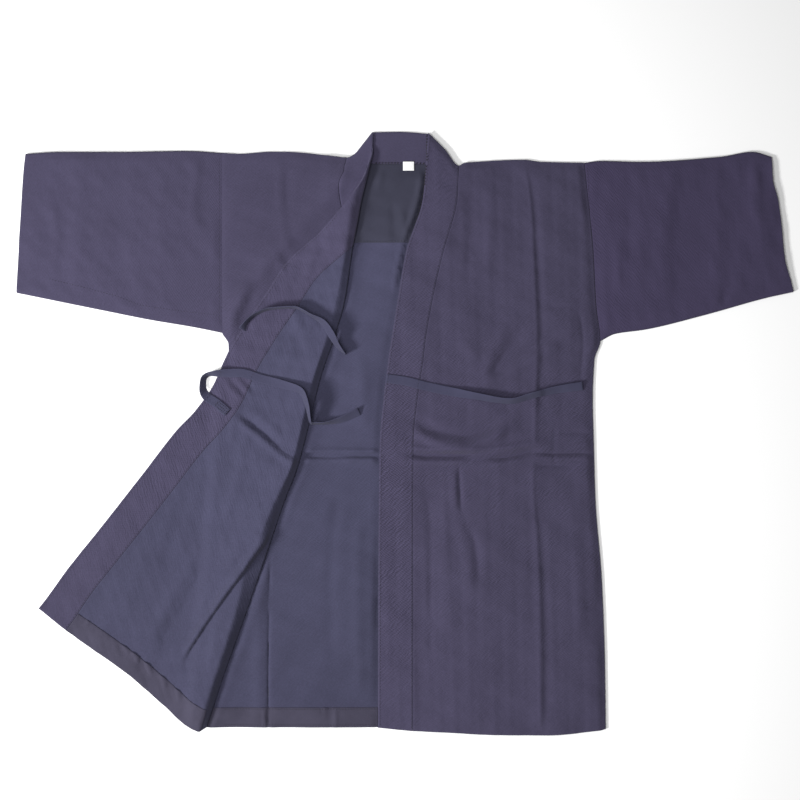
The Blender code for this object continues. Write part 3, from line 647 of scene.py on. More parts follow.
class JacketColours(bpy.types.PropertyGroup):
    """Colours of the cloths, the thread and the surface."""

    outside: colour_property("Outside", "Outer face of the woven cotton", (0.0465, 0.0408, 0.0765))
    # The left sleeve's colour is the outside's made darker: painted shade for the light falling off
    # towards the viewer's right.
    sleeve: colour_property("Left sleeve", "Outer face, darkened as painted shade", (0.0415, 0.0338, 0.0705))
    inside: colour_property("Inside", "Inner face of the woven cotton", (0.0435, 0.0428, 0.0790))
    lining: colour_property("Lining", "Upper back lining", (0.0360, 0.0362, 0.0570))
    facing: colour_property("Facing", "Hem facings", (0.0440, 0.0405, 0.0640))
    tape: colour_property("Tape", "Tie tape", (0.0455, 0.0450, 0.0820))
    tag: colour_property("Tag", "Bare tag at the neck", (0.82, 0.82, 0.82))
    thread: colour_property("Thread", "Sewing thread", (0.0090, 0.0070, 0.0150))
    floor: colour_property("Surface", "What the jacket lies on", (0.90, 0.90, 0.90))


class JacketStage(bpy.types.PropertyGroup):
    """Light and camera."""

    key: bpy.props.FloatProperty(
        name="Key light", description="Power of the large soft light", default=101.0, unit="POWER"
    )
    overhead: bpy.props.FloatProperty(
        name="Overhead", description="Power of the soft light above", default=20.0, unit="POWER"
    )
    fill: bpy.props.FloatProperty(
        name="Fill", description="Strength of the light all round", default=0.23, min=0.0
    )
    lens: bpy.props.FloatProperty(
        name="Lens", description="Focal length, in millimetres", default=70.0, unit="CAMERA"
    )
    height: length_property("Camera height", "Height of the camera above the surface", 2.256)


def sizes():
    return bpy.context.scene.jacket_sizes


def colours():
    return bpy.context.scene.jacket_colours


# Numbers


def mix(a, b, share):
    return a + (b - a) * share


def ease(share):
    share = np.clip(share, 0.0, 1.0)
    return share * share * (3 - 2 * share)


def read(table, name, at):
    """A column of a table at places between its rows, on a smooth curve that never overshoots."""
    ordered = sorted(table, key=lambda row: row[0])
    keys = np.array([row[0] for row in ordered])
    values = np.array([getattr(row, name) for row in ordered])
    at = np.clip(at, keys[0], keys[-1])
    slopes = np.diff(values) / np.diff(keys)
    before, after = slopes[:-1], slopes[1:]
    both = before + after
    level = before * after <= 0
    inner = np.where(level, 0.0, 2 * before * after / np.where(level, 1.0, both))
    tangents = np.concatenate([slopes[:1], inner, slopes[-1:]])
    i = np.clip(np.searchsorted(keys, at, side="right") - 1, 0, len(slopes) - 1)
    width = keys[i + 1] - keys[i]
    t = (at - keys[i]) / width
    rise = values[i + 1] - values[i]
    start, end = tangents[i] * width, tangents[i + 1] * width
    bend, twist = 3 * rise - 2 * start - end, start + end - 2 * rise
    return values[i] + t * start + t * t * bend + t ** 3 * twist


def right_at(level, *names):
    """Columns of the right front's table at a level."""
    return [read(RIGHT_FRONT, name, level) for name in names]


def lengths_along(points):
    """How far along a line each of its points is."""
    lengths = [0.0]
    for a, b in zip(points, points[1:]):
        lengths.append(lengths[-1] + hypot(b.x - a.x, b.y - a.y))
    return lengths


def along(points, share):
    """Places at shares of the length of a smooth line through a few points."""
    lengths = lengths_along(points)
    stops = [Stop(length, point.x, point.y, 0) for length, point in zip(lengths, points)]
    at = np.asarray(share) * lengths[-1]
    return read(stops, "x", at), read(stops, "y", at)


def step_over(distance):
    """1 over a lower layer, 0 well beyond its edge."""
    return 1 - ease((distance - STEP_OUT) / STEP_RUN)


def near_neck(x, y):
    """1 on the thick neck band and lining, 0 well outside them."""
    outside = np.maximum(np.maximum(NECK_LEFT - x, x - NECK_RIGHT), YOKE_BOTTOM - y)
    return step_over(np.maximum(outside, 0.0))


def on_body(x, y):
    """1 over the body of the jacket, 0 well beyond its side."""
    return step_over(read(RIGHT_FRONT, "side", y) - x)


# Creases


def rounded(points, rounds=2):
    """A line with its corners cut, in metres."""
    points = [np.array(point, float) / 1000 for point in points]
    for _ in range(rounds):
        cut = [points[0]]
        for a, b in zip(points, points[1:]):
            cut += [mix(a, b, 0.25), mix(a, b, 0.75)]
        points = cut + [points[-1]]
    return points


def crease(item, x, y):
    """Height of one crease at each place: it fades in and out along its line."""
    points = rounded(item.line)
    nearest = np.full(x.shape, 1e9)
    at = np.zeros(x.shape)
    start = 0.0
    for (x1, y1), (x2, y2) in zip(points, points[1:]):
        dx, dy = x2 - x1, y2 - y1
        length = hypot(dx, dy)
        share = np.clip(((x - x1) * dx + (y - y1) * dy) / length**2, 0, 1)
        distance = np.hypot(x - x1 - share * dx, y - y1 - share * dy)
        closer = distance < nearest
        nearest = np.where(closer, distance, nearest)
        at = np.where(closer, start + share * length, at)
        start += length
    fade = min(FADE_SHARE * start, FADE_MOST)
    ends = ease(at / fade) * ease((start - at) / fade)
    across = nearest / item.width
    soft = np.exp(-across * across)
    # Even a sharp crease is a little round at its very top.
    sharp = np.exp(-np.sqrt(across * across + 0.04) + 0.2)
    return item.height * mix(END_HEIGHT, 1.0, ends) * mix(sharp, soft, item.soft)


def waves(x, y, seed):
    """Low uneven waves, the same each time for a seed."""
    draw = np.random.default_rng(seed)
    total = np.zeros(x.shape)
    for size, height in WAVES:
        for _ in range(WAVES_EACH):
            heading, shift = draw.uniform(0, 2 * pi, 2)
            stretch = draw.uniform(0.75, 1.3)
            run = (x * cos(heading) + y * sin(heading)) * 2 * pi / (size * stretch)
            total += height * np.sin(run + shift) / 2.2
    return total


def relief(x, y, creases, seed, base):
    """Height of the cloth's creases above where it would lie flat, never below 0."""
    total = base + waves(x, y, seed)
    for item in creases:
        total = total + crease(item, x, y)
    total = total * sizes().relief
    # It levels out softly where it comes down to 0.
    return np.where(total > 0, total, 0.0) + 0.00012 * np.exp(-np.abs(total) / 0.0004)


def pucker(distance, at, seed, height=0.00030):
    """Small gathers beside a seam: distance from it, and place along it."""
    draw = np.random.default_rng(seed)

    def gather(size):
        size = size * draw.uniform(0.9, 1.1)
        return np.sin(2 * pi * at / size + draw.uniform(0, 2 * pi))

    total = np.zeros(np.shape(at))
    for size in GATHER_SIZES:
        total += gather(size)
    swell = np.ones(np.shape(at))
    for size in SWELL_SIZES:
        swell *= 0.6 + 0.7 * gather(size)
    return height * total / 2 * np.abs(swell) * np.exp(-np.abs(distance) / GATHER_REACH)


def facing_relief(x, y, gathers):
    """Gathers and small tucks of a hem facing."""
    total = gathers + 0.0004
    for item in FACING_CREASES:
        total = total + crease(item, x, y)
    return np.maximum(total, 0)


def sewn_down(level):
    """How far stitches pull a hem facing down near its upper edge."""
    return SEWN_DOWN * np.exp((level - HEM - FACING_WIDTH) / SEWN_RUN)


def meets_roll(x, y):
    """The back's cloth climbs a little beside the roll that rests on it."""
    fold, roll = right_at(y, "fold", "roll")
    out = x - fold + roll - ROLL_FOOT
    sink = np.maximum(out - ROLL_CLIMB, 0) / ROLL_SINK
    return ROLL_LIFT * ease(out / ROLL_CLIMB) * np.exp(-sink ** 2) * ease((0.35 - y) / 0.03)


def back_relief(x, y):
    """The back's creases show only between the roll and the left front."""
    left = read(RIGHT_FRONT, "fold", y)
    right = read(LEFT_FRONT, "edge", y)
    shown = ease((x - left - 0.002) / 0.012) * ease((right - 0.001 - x) / 0.008)
    shown = shown * ease((0.386 - y) / 0.02)
    return relief(x, y, BACK_CREASES, seed=3, base=0.0018) * shown + meets_roll(x, y)


def left_relief(x, y):
    """The left front's creases, and the gathers beside its band."""
    side = read(LEFT_FRONT, "side", y)
    top = left_point(LEFT_TOP_LEVEL, x)
    rest = ease((side - x) / FADE_IN) * ease((top - y) / FADE_IN)
    gathers = np.maximum(pucker(x - read(LEFT_FRONT, "seam", y), y, seed=17), 0)
    return (relief(x, y, LEFT_CREASES, seed=7, base=0.0024) + gathers) * rest


def lower_relief(x, y):
    """Creases of the right front's lower layer, which reach into the turned part."""
    side = read(RIGHT_FRONT, "side", y)
    top = read(RIGHT_SHOULDER, "y", x)
    rest = ease((x - side) / FADE_IN) * ease((top - y) / FADE_IN)
    return relief(x, y, LOWER_CREASES, seed=11, base=0.0009) * rest


def turned_relief(x, y):
    """Creases of the turned part alone."""
    return relief(x, y, TURNED_CREASES, seed=13, base=0.0020)


def fold_crest(x, y):
    """Height that the loose roll adds: it climbs from the fold to its crest, then sinks back."""
    fold, roll, curl = right_at(y, "fold", "roll", "curl")
    start = fold - roll * (1 - np.sin(np.radians(curl)))
    crest = read(FOLD_CREST, "x", y)
    climb = np.maximum((start - x) / (start - crest), 0.0)
    climb = (1 + climb - np.sqrt((1 - climb) ** 2 + 0.012)) / 2
    sink = np.maximum(crest - x, 0.0) / CREST_SINK
    return read(FOLD_CREST, "height", y) * np.maximum(climb, 0.0) * np.exp(-sink * sink)


# Cloth walls


def stations(first, last, count, edge):
    """Places across a cloth on each row, closest at both edges so that the edges come out round."""
    first, last = np.broadcast_arrays(np.asarray(first, float), np.asarray(last, float))
    ends = EDGE_STEPS * edge
    inner = np.linspace(0, 1, count + 1)[1:-1]
    middle = mix(first[..., None] + edge, last[..., None] - edge, inner)
    return np.concatenate(
        [first[..., None] + ends, middle, last[..., None] - ends[::-1]], axis=-1
    )


def unit(vectors):
    return vectors / (np.linalg.norm(vectors, axis=-1, keepdims=True) + 1e-12)


def skin(name, surface, place, levels, thickness, materials, lift=0.0):
    """A closed wall of cloth. surface gives its middle from places across and down the cloth."""
    level = np.broadcast_to(levels[:, None], place.shape)
    across = surface(place + FEEL, level) - surface(place - FEEL, level)
    down = surface(place, level + FEEL) - surface(place, level - FEEL)
    normal = unit(np.cross(across, down))
    middle = surface(place, level) - normal * lift
    edge = np.minimum(
        np.minimum(place - place[:, :1], place[:, -1:] - place),
        np.minimum(np.abs(level - level[:1]), np.abs(level - level[-1:])),
    )
    cloth = np.stack([place, level, np.zeros_like(place)], -1)
    return wall(name, middle, normal, thickness, edge, cloth, materials)


def wall(name, middle, normal, thickness, edge, cloth, materials, wrap=False):
    """Two faces of a cloth and the round edges between them, as one closed mesh."""
    rows, columns = middle.shape[:2]
    share = np.clip(edge / ROUNDING, 0, 1)
    half = thickness / 2 * np.maximum(np.sqrt(np.maximum(1 - (1 - share) ** 2, 0)), RIM)
    outer = middle + normal * half[..., None]
    inner = middle - normal * half[..., None]
    count = rows * columns
    index = np.arange(count).reshape(rows, columns)
    if wrap:
        index = np.concatenate([index, index[:, :1]], axis=1)
    a, b, c, d = index[:-1, :-1], index[1:, :-1], index[1:, 1:], index[:-1, 1:]
    upper = np.stack([a, b, c, d], -1).reshape(-1, 4)
    lower = np.stack([d, c, b, a], -1).reshape(-1, 4) + count
    rims = [index[0], index[-1]]
    if not wrap:
        rims += [index[:, 0], index[:, -1]]
    edges = [np.stack([r[:-1], r[1:], r[1:] + count, r[:-1] + count], -1) for r in rims]
    faces = np.concatenate([upper, lower, *edges])
    points = np.concatenate([outer.reshape(-1, 3), inner.reshape(-1, 3)])
    slots = np.zeros(len(faces), int)
    slots[len(upper):] = len(materials) - 1
    worn = np.exp(-edge / WEAR_RUN)
    mesh = bpy.data.meshes.new(name)
    mesh.from_pydata(points, [], faces)
    mesh.polygons.foreach_set("material_index", slots)
    spots = mesh.attributes.new("cloth", "FLOAT_VECTOR", "POINT")
    spots.data.foreach_set("vector", np.concatenate([cloth, cloth]).ravel())
    wear = mesh.attributes.new("worn", "FLOAT", "POINT")
    wear.data.foreach_set("value", np.concatenate([worn, worn]).ravel())
    return finish_mesh(name, mesh, materials)


def finish_mesh(name, mesh, materials):
    """Joins points that coincide, turns every face outwards and puts the piece in the scene."""
    shape = bmesh.new()
    shape.from_mesh(mesh)
    bmesh.ops.remove_doubles(shape, verts=shape.verts, dist=MERGE)
    bmesh.ops.recalc_face_normals(shape, faces=shape.faces)
    shape.to_mesh(mesh)
    layers.append(BVHTree.FromBMesh(shape))
    shape.free()
    mesh.shade_smooth()
    for material in materials:
        mesh.materials.append(material)
    piece = bpy.data.objects.new(name, mesh)
    bpy.context.scene.collection.objects.link(piece)
    return piece


def declare(piece, nodes):
    """Attaches the piece to the root, and hides the parts that it stands for."""
    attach(piece, "root")
    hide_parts(*nodes)


def levels_between(first, last, name):
    """Levels from one edge of a piece to the other, closest at both."""
    count = max(int(round(abs(last - first) / DIVIDED[name][0])), 2)
    return first + np.sign(last - first) * stations(0.0, abs(last - first), count, ROUNDING)


def places_between(first, last, name):
    """Places across a piece on each of its levels, closest at both edges."""
    return stations(first, last, DIVIDED[name][1], ROUNDING)


def with_waist(levels):
    """The same levels with closer ones where the waist is pressed."""
    inside = (levels > WAIST_LOW) & (levels < WAIST_HIGH)
    closer = np.arange(WAIST_LOW, WAIST_HIGH, WAIST_STEP)
    return np.sort(np.concatenate([levels[~inside], closer]))[::-1]


# Shapes of the pieces


def roll_places(level):
    """How far across the right front's cloth the roll begins and ends."""
    side, fold, curl, roll = right_at(level, "side", "fold", "curl", "roll")
    curl = np.radians(curl)
    begin = fold - roll * np.sin(np.minimum(curl, pi / 2)) - side
    return begin, begin + roll * curl


def turned_surface(band):
    """The right front: from its side to the roll, round it, and back over itself."""
    cloth = sizes().cloth
    thickness = sizes().band if band else cloth
    on_back = cloth + GAP
    on_neck = sizes().band + GAP

    def middle(x, y):
        rise = on_neck - on_back + (sizes().band - cloth) / 2
        return on_back + cloth / 2 + rise * near_neck(x, y) + lower_relief(x, y)

    def surface(place, level):
        side, heading, curl, roll = right_at(level, "side", "heading", "curl", "roll")
        curl, heading = np.radians(curl), np.radians(heading)
        lower, turned = roll_places(level)
        top_share = 1 - ease((SHOULDER - level) / SLANT_RUN)
        x0 = side + np.minimum(place, lower)
        y0 = level + (read(RIGHT_SHOULDER, "y", x0) - SHOULDER) * top_share
        low = middle(x0, y0)
        angle = np.clip((place - lower) / roll, 0, curl)
        run = np.maximum(place - turned, 0)
        x = x0 + roll * np.sin(angle) + run * np.cos(heading)
        hem = 1 - ease((level - HEM) / SLANT_RUN)
        y = y0 + run * np.sin(heading) - read(RIGHT_HEM_SAG, "y", run) * hem
        high = low + roll * (1 - np.cos(angle))
        under = cloth / 2 + (sizes().band - cloth) / 2 * near_neck(x, y)
        rest = middle(x, y) + under + LAYER_GAP + thickness / 2
        rest = mix(thickness / 2, rest, on_body(x, y))
        fall = 0.5 * (1 + np.cos(pi * np.clip(run / ROLL_RUN, 0, 1)))
        fall = np.where(place > turned, fall, 1.0)
        z = mix(rest, high, fall) + turned_relief(x, y) * ease(run / 0.008)
        z = z + np.where(place > turned, fold_crest(x, y), 0.0)
        if not band:
            reach, width = right_at(level, "reach", "band")
            inside = turned + reach - width - place
            beyond, above = ease((run - 0.004) / 0.01), ease((level - 0.30) / 0.02)
            meets = np.where(place > lower, beyond, above)
            z = z + SEAM_RISE * np.exp(-inside / SEAM_RUN) * meets
        return np.stack([x, y, z], -1)

    return surface


def right_columns(levels, band, counts):
    """Places across the right front: on the lower layer, round the roll, on the turned part."""
    lower, turned = roll_places(levels)
    reach, width = right_at(levels, "reach", "band")
    length = turned + reach
    first = length - width if band else np.zeros_like(length)
    last = length if band else length - width - SEAM
    ends = EDGE_STEPS * ROUNDING
    begin, end = first + ROUNDING, last - ROUNDING
    low, high = np.clip(lower, begin, end), np.clip(turned, begin, end)
    parts = [first[:, None] + ends]
    for a, b, count in zip((begin, low, high), (low, high, end), counts):
        parts.append(mix(a[:, None], b[:, None], np.linspace(0, 1, count + 1)[1:]))
    parts[-1] = parts[-1][:, :-1]
    parts.append(last[:, None] - ends[::-1])
    return np.concatenate(parts, axis=1)


def left_point(level, x):
    """Level lines of the left front bend to the shoulder and to the hem."""
    near_top = 1 - ease((LEFT_TOP_LEVEL - level) / SLANT_RUN)
    near_hem = 1 - ease((level - LEFT_BOTTOM_LEVEL) / SLANT_RUN)
    up = (read(LEFT_SHOULDER, "y", x) - LEFT_TOP_LEVEL) * near_top
    down = (read(LEFT_HEM, "y", x) - LEFT_BOTTOM_LEVEL) * near_hem
    return level + up + down


def left_surface(band):
    """The left front, or its stretch of the band, over the back."""
    on_back = sizes().cloth + GAP
    on_neck = sizes().band + GAP
    half = (sizes().band if band else sizes().cloth) / 2

    def surface(x, level):
        y = left_point(level, x)
        z = mix(on_back, on_neck, near_neck(x, y)) + half + left_relief(x, y)
        if not band:
            z = z + SEAM_RISE * np.exp((read(LEFT_FRONT, "seam", level) - x) / SEAM_RUN)
        return np.stack([x, y, z], -1)

    return surface


def back_top(x):
    """The back's top edge: shoulder, neck seam, shoulder."""
    seam = [along(NECK_SEAM, share) for share in np.linspace(0, 1, 15)]
    xs = [NECK_LEFT_POINT, *(float(p[0]) for p in seam), NECK_RIGHT_POINT]
    ys = [float(read(RIGHT_SHOULDER, "y", NECK_LEFT_POINT))]
    ys += [float(p[1]) - SEAM for p in seam]
    ys.append(float(read(LEFT_SHOULDER, "y", NECK_RIGHT_POINT)))
    neck = np.interp(x, xs, ys)
    top = np.where(x > NECK_RIGHT_POINT, read(LEFT_SHOULDER, "y", x), neck)
    return np.where(x < NECK_LEFT_POINT, read(RIGHT_SHOULDER, "y", x), top)


def back_surface(x, level):
    """The back's middle: level lines that bend to the shoulders and the neck."""
    slant = 1 - ease((LEFT_TOP_LEVEL - level) / SLANT_RUN)
    y = level + (back_top(x) - LEFT_TOP_LEVEL) * slant
    return np.stack([x, y, sizes().cloth / 2 + back_relief(x, y)], -1)


def neck_surface(place, share):
    """The neck stretch of the band: place along it, share from its edge to its seam."""
    x1, y1 = along(NECK_EDGE, np.clip(place, 0, 1))
    x2, y2 = along(NECK_SEAM, np.clip(place, 0, 1))
    x, y = mix(x1, x2, share), mix(y1, y2, share)
    gathers = pucker(share * NECK_WIDTH - NECK_WIDTH, x, seed=31, height=0.0002)
    z = sizes().band / 2 + np.maximum(gathers, 0)
    return np.stack([x, y, z + np.zeros_like(x)], -1)


def sleeve_grid(armhole, cuff, top, under, creases, seed):
    """Points round a flattened tube from the armhole to the cuff, with the cloth's own places."""
    shares = stations(0.0, 1.0, SLEEVE_ROWS, 0.0025)
    cloth = sizes().cloth

    def at_cuff(across):
        return along(cuff, across)

    def place(share, across):
        a, b = armhole(across), at_cuff(across)
        c, d = along(top, share), along(under, share)
        corners = [line(end) for line in (armhole, at_cuff) for end in (np.zeros(1), np.ones(1))]
        found = []
        for n in (0, 1):
            near = mix(corners[0][n], corners[1][n], across)
            far = mix(corners[2][n], corners[3][n], across)
            found.append(mix(a[n], b[n], share) + mix(c[n], d[n], across) - mix(near, far, share))
        return found

    share = shares[:, None]
    (x1, y1), (x2, y2) = place(share, np.zeros_like(share)), place(share, np.ones_like(share))
    width = np.hypot(x2 - x1, y2 - y1)
    loft = read(SLEEVE_LOFT, "y", share)
    swell = SLEEVE_SWELL * np.sin(pi * np.clip(share * 1.1, 0, 1))
    radius = loft / 2
    margin = radius + cloth / 2
    run = np.linspace(0, 1, SLEEVE_COLUMNS)[None, :]
    bend = pi * np.arange(1, SLEEVE_BEND)[None, :] / SLEEVE_BEND
    flat = width - 2 * margin
    ws = [margin + flat * run, width - margin + radius * np.sin(bend)]
    ws += [margin + flat * run[:, ::-1], margin - radius * np.sin(bend)]
    zs = [loft + swell * np.sin(pi * run), radius + radius * np.cos(bend)]
    zs += [np.zeros_like(flat * run), radius - radius * np.cos(bend)]
    w = np.concatenate(ws, axis=1)
    z = np.concatenate([part + np.zeros_like(width) for part in zs], axis=1) + cloth / 2
    share = share + np.zeros_like(w)
    x, y = place(share, w / width)
    raised = (np.arange(w.shape[1]) < SLEEVE_COLUMNS)[None, :] * 1.0
    rest = ease((w / width) / 0.06) * ease((1 - w / width) / 0.06) * ease(share / 0.05)
    z = z + relief(x, y, creases, seed, base=0.0010) * raised * rest
    grid = np.stack([x, y, z], -1)
    around = np.roll(grid, -1, axis=1) - np.roll(grid, 1, axis=1)
    normal = unit(np.cross(np.gradient(grid, axis=0), around))
    edge = np.minimum(share, 1 - share) * SLEEVE_LENGTH
    # The underside takes its weave from another place.
    spots = [w + np.where(raised > 0, 0, 0.4), share * SLEEVE_LENGTH, np.zeros_like(w)]
    return grid, normal, edge, np.stack(spots, -1)


# Shader maths


class Mark:
    """A shader value that can stand in sums."""

    def __init__(self, cloth, socket):
        self.cloth = cloth
        self.socket = socket

    def maths(self, operation, *values):
        made = self.cloth.node("ShaderNodeMath", {"operation": operation}, dict(enumerate(values)))
        return Mark(self.cloth, made.outputs[0])

    def __add__(self, other):
        return self.maths("ADD", self, other)

    __radd__ = __add__

    def __sub__(self, other):
        return self.maths("SUBTRACT", self, other)

    def __rsub__(self, other):
        return self.maths("SUBTRACT", other, self)

    def __mul__(self, other):
        return self.maths("MULTIPLY", self, other)

    __rmul__ = __mul__

    def __truediv__(self, other):
        return self.maths("DIVIDE", self, other)

    def ripple(self, pitch=1.0):
        """A wave that repeats once each pitch, from -1 to 1."""
        return self.maths("SINE", self * (2 * pi / pitch))

    def size(self):
        return self.maths("ABSOLUTE", self)

    def clipped(self):
        """The same value, held between 0 and 1."""
        return self.maths("MINIMUM", self.maths("MAXIMUM", self, 0.0), 1.0)


class Finish:
    """One material being made: its nodes, and the marks that its expressions use."""

    def __init__(self, name, roughness, sheen=0.0, specular=0.3):
        self.material = bpy.data.materials.new(name)
        self.material.use_nodes = True
        self.tree = self.material.node_tree
        self.shader = self.tree.nodes["Principled BSDF"]
        self.shader.inputs["Roughness"].default_value = roughness
        self.shader.inputs["Specular IOR Level"].default_value = specular
        self.shader.inputs["Sheen Weight"].default_value = sheen
        self.shader.inputs["Sheen Roughness"].default_value = 0.5

    def node(self, kind, settings, sockets):
        """Adds one node: its settings first, then the values or links of its sockets."""
        made = self.tree.nodes.new(kind)
        for name, value in settings.items():
            setattr(made, name, value)
        for name, value in sockets.items():
            self.put(made.inputs[name], value)
        return made

    def put(self, socket, value):
        if isinstance(value, Mark):
            value = value.socket
        if isinstance(value, bpy.types.NodeSocket):
            self.tree.links.new(value, socket)
        else:
            socket.default_value = value

    def marked(self, name, output):
        made = self.node("ShaderNodeAttribute", {"attribute_name": name}, {})
        return Mark(self, made.outputs[output])

    def cloth_places(self):
        """How far across and down the cloth a place is, in metres."""
        places = self.marked("cloth", "Vector")
        split = self.node("ShaderNodeSeparateXYZ", {}, {"Vector": places})
        return places, Mark(self, split.outputs["X"]), Mark(self, split.outputs["Y"])

    def noise(self, places, scale, detail=2.0):
        """Soft patches that run round 0."""
        made = self.node(
            "ShaderNodeTexNoise",
            {"noise_dimensions": "3D"},
            {"Vector": places, "Scale": scale, "Detail": detail},
        )
        return Mark(self, made.outputs["Fac"]) - 0.5

    def shade(self, colour, lightness):
        """The colour, darker where lightness is below 0.5 and lighter where it is above."""
        dark = tuple(0.5 * part for part in colour) + (1.0,)
        light = tuple(1.5 * part for part in colour) + (1.0,)
        made = self.node(
            "ShaderNodeMix",
            {"data_type": "RGBA", "blend_type": "MIX", "clamp_factor": True},
            {0: lightness, 6: dark, 7: light},
        )
        self.put(self.shader.inputs["Base Color"], made.outputs[2])

    def roughen(self, roughness):
        self.put(self.shader.inputs["Roughness"], roughness.clipped())

    def raise_threads(self, height, distance):
        bump = self.node("ShaderNodeBump", {}, {"Distance": distance, "Height": height})
        self.put(self.shader.inputs["Normal"], bump.outputs["Normal"])


def woven_cotton(name, colour, weave):
    """Thick cotton with raised grains in uneven diagonal rows."""
    made = Finish(name, 0.92, sheen=0.08, specular=0.16)
    places, across, down = made.cloth_places()
    drift = made.noise(places, 60.0)
    wander = made.noise(places, 105.0, 1.0)
    grains = (across / sizes().grain_width + wander * 1.3).ripple()
    grains = grains * (down / sizes().grain_length + drift * 1.2).ripple()
    twill = (across - down + drift * 0.006 + wander * 0.007).ripple(sizes().row_pitch)
    patches = (made.noise(places, 42.0) * 3.0 + 0.6).clipped()
    yarns = across.ripple(COTTON_YARN) * down.ripple(COTTON_YARN)
    slubs = made.noise(places, 560.0)
    mottle = made.noise(places, 22.0, 3.0)
    heather = made.noise(places, 260.0)
    worn = made.marked("worn", "Fac")
    # The rows show most near the waist, and fade towards the shoulders and the hem.
    strength = 0.30 + 0.95 * (1.0 - (down + 0.06).size() / 0.34).clipped()
    woven = weave.rows * strength * (0.13 * grains + 0.18 * twill * patches)
    # The term across the cloth is painted shade: on the outside it darkens towards the viewer's
    # right, where the light falls off.
    tone = 0.5 + weave.fade * down + weave.lean * across
    mixed = 0.20 * mottle + 0.26 * heather + 0.42 * slubs
    made.shade(colour, tone + woven + mixed + 0.03 * worn)
    made.roughen(0.90 + 0.10 * heather)
    raised = strength * (0.50 * grains + 0.40 * twill * patches)
    made.raise_threads(raised + 0.10 * yarns + 0.45 * slubs + 0.35 * heather, weave.depth)
    return made.material


def plain_lining(name, colour, fade=0.0):
    """Smooth plain weave; fade is how much lighter each metre down the cloth is."""
    made = Finish(name, 0.82, specular=0.12)
    places, across, down = made.cloth_places()
    yarns = across.ripple(LINING_YARN) * down.ripple(LINING_YARN)
    mottle = made.noise(places, 30.0, 3.0)
    slubs = made.noise(places, 600.0)
    tone = 0.5 + fade * (down - 0.05)
    made.shade(colour, tone + 0.03 * yarns + 0.34 * mottle + 0.20 * slubs)
    made.roughen(0.82 + 0.15 * slubs)
    made.raise_threads(0.5 * yarns + 0.4 * slubs, 0.00012)
    return made.material


def cotton_tape(name, colour):
    """Folded tape: fine ribs along it and a lighter worn edge."""
    made = Finish(name, 0.88, sheen=0.05, specular=0.12)
    places, across, down = made.cloth_places()
    ribs, picks = across.ripple(TAPE_RIB), down.ripple(TAPE_PICK)
    slubs = made.noise(places, 500.0)
    worn = made.marked("worn", "Fac")
    made.shade(colour, 0.5 + 0.05 * ribs + 0.03 * picks + 0.20 * slubs + 0.05 * worn)
    made.roughen(0.85 + 0.1 * slubs)
    made.raise_threads(0.5 * ribs + 0.3 * picks + 0.4 * slubs, 0.00025)
    return made.material


def tag_cloth(name, colour):
    """Smooth tape of the tag."""
    made = Finish(name, 0.55, sheen=0.1, specular=0.35)
    places, across, down = made.cloth_places()
    yarns = across.ripple(TAG_YARN) * down.ripple(TAG_YARN)
    mottle = made.noise(places, 300.0)
    made.shade(tuple(part / 1.5 * 1.45 for part in colour), 0.5 + 0.01 * yarns + 0.03 * mottle)
    made.raise_threads(0.6 * yarns + 0.3 * mottle, 0.00010)
    return made.material


def sewing_thread(name, colour):
    """Twisted thread."""
    made = Finish(name, 0.7, sheen=0.1)
    places, across, down = made.cloth_places()
    twist = (across + down).ripple(THREAD_TWIST)
    made.shade(colour, 0.5 + 0.10 * twist + 0.2 * made.noise(places, 400.0))
    made.raise_threads(twist, 0.00008)
    return made.material


def finish_named(name):
    """The material of that name, made when it is first asked for."""
    if name in bpy.data.materials:
        return bpy.data.materials[name]
    makers = {
        "cotton_outside": (woven_cotton, "outside", OUTSIDE),
        "cotton_band": (woven_cotton, "outside", BAND),
        "cotton_turned_band": (woven_cotton, "outside", TURNED_BAND),
        "cotton_right_sleeve": (woven_cotton, "outside", SLEEVE),
        # The left sleeve's cloth takes the darker colour, which is painted shade of the light's
        # falloff.
        "cotton_left_sleeve": (woven_cotton, "sleeve", SLEEVE),
        "cotton_inside": (woven_cotton, "inside", INSIDE),
        "lining_cloth": (plain_lining, "lining", 1.4),
        "facing_cloth": (plain_lining, "facing"),
        "tie_cloth": (cotton_tape, "tape"),
        "tag_cloth": (tag_cloth, "tag"),
        "sewing_thread": (sewing_thread, "thread"),
    }
    maker, colour, *values = makers[name]
    return maker(name, tuple(getattr(colours(), colour)), *values)


def both_faces(outside="cotton_outside"):
    """The materials of a panel's outer and inner face."""
    return [finish_named(outside), finish_named("cotton_inside")]


# Tapes and stitches


def top_at(x, y):
    """Height of what already lies at a place, looking straight down."""
    height = 0.0
    for tree in layers:
        hit = tree.ray_cast(Vector((x, y, ABOVE_ALL)), Vector((0, 0, -1)))[0]
        if hit:
            height = max(height, hit.z)
    return height


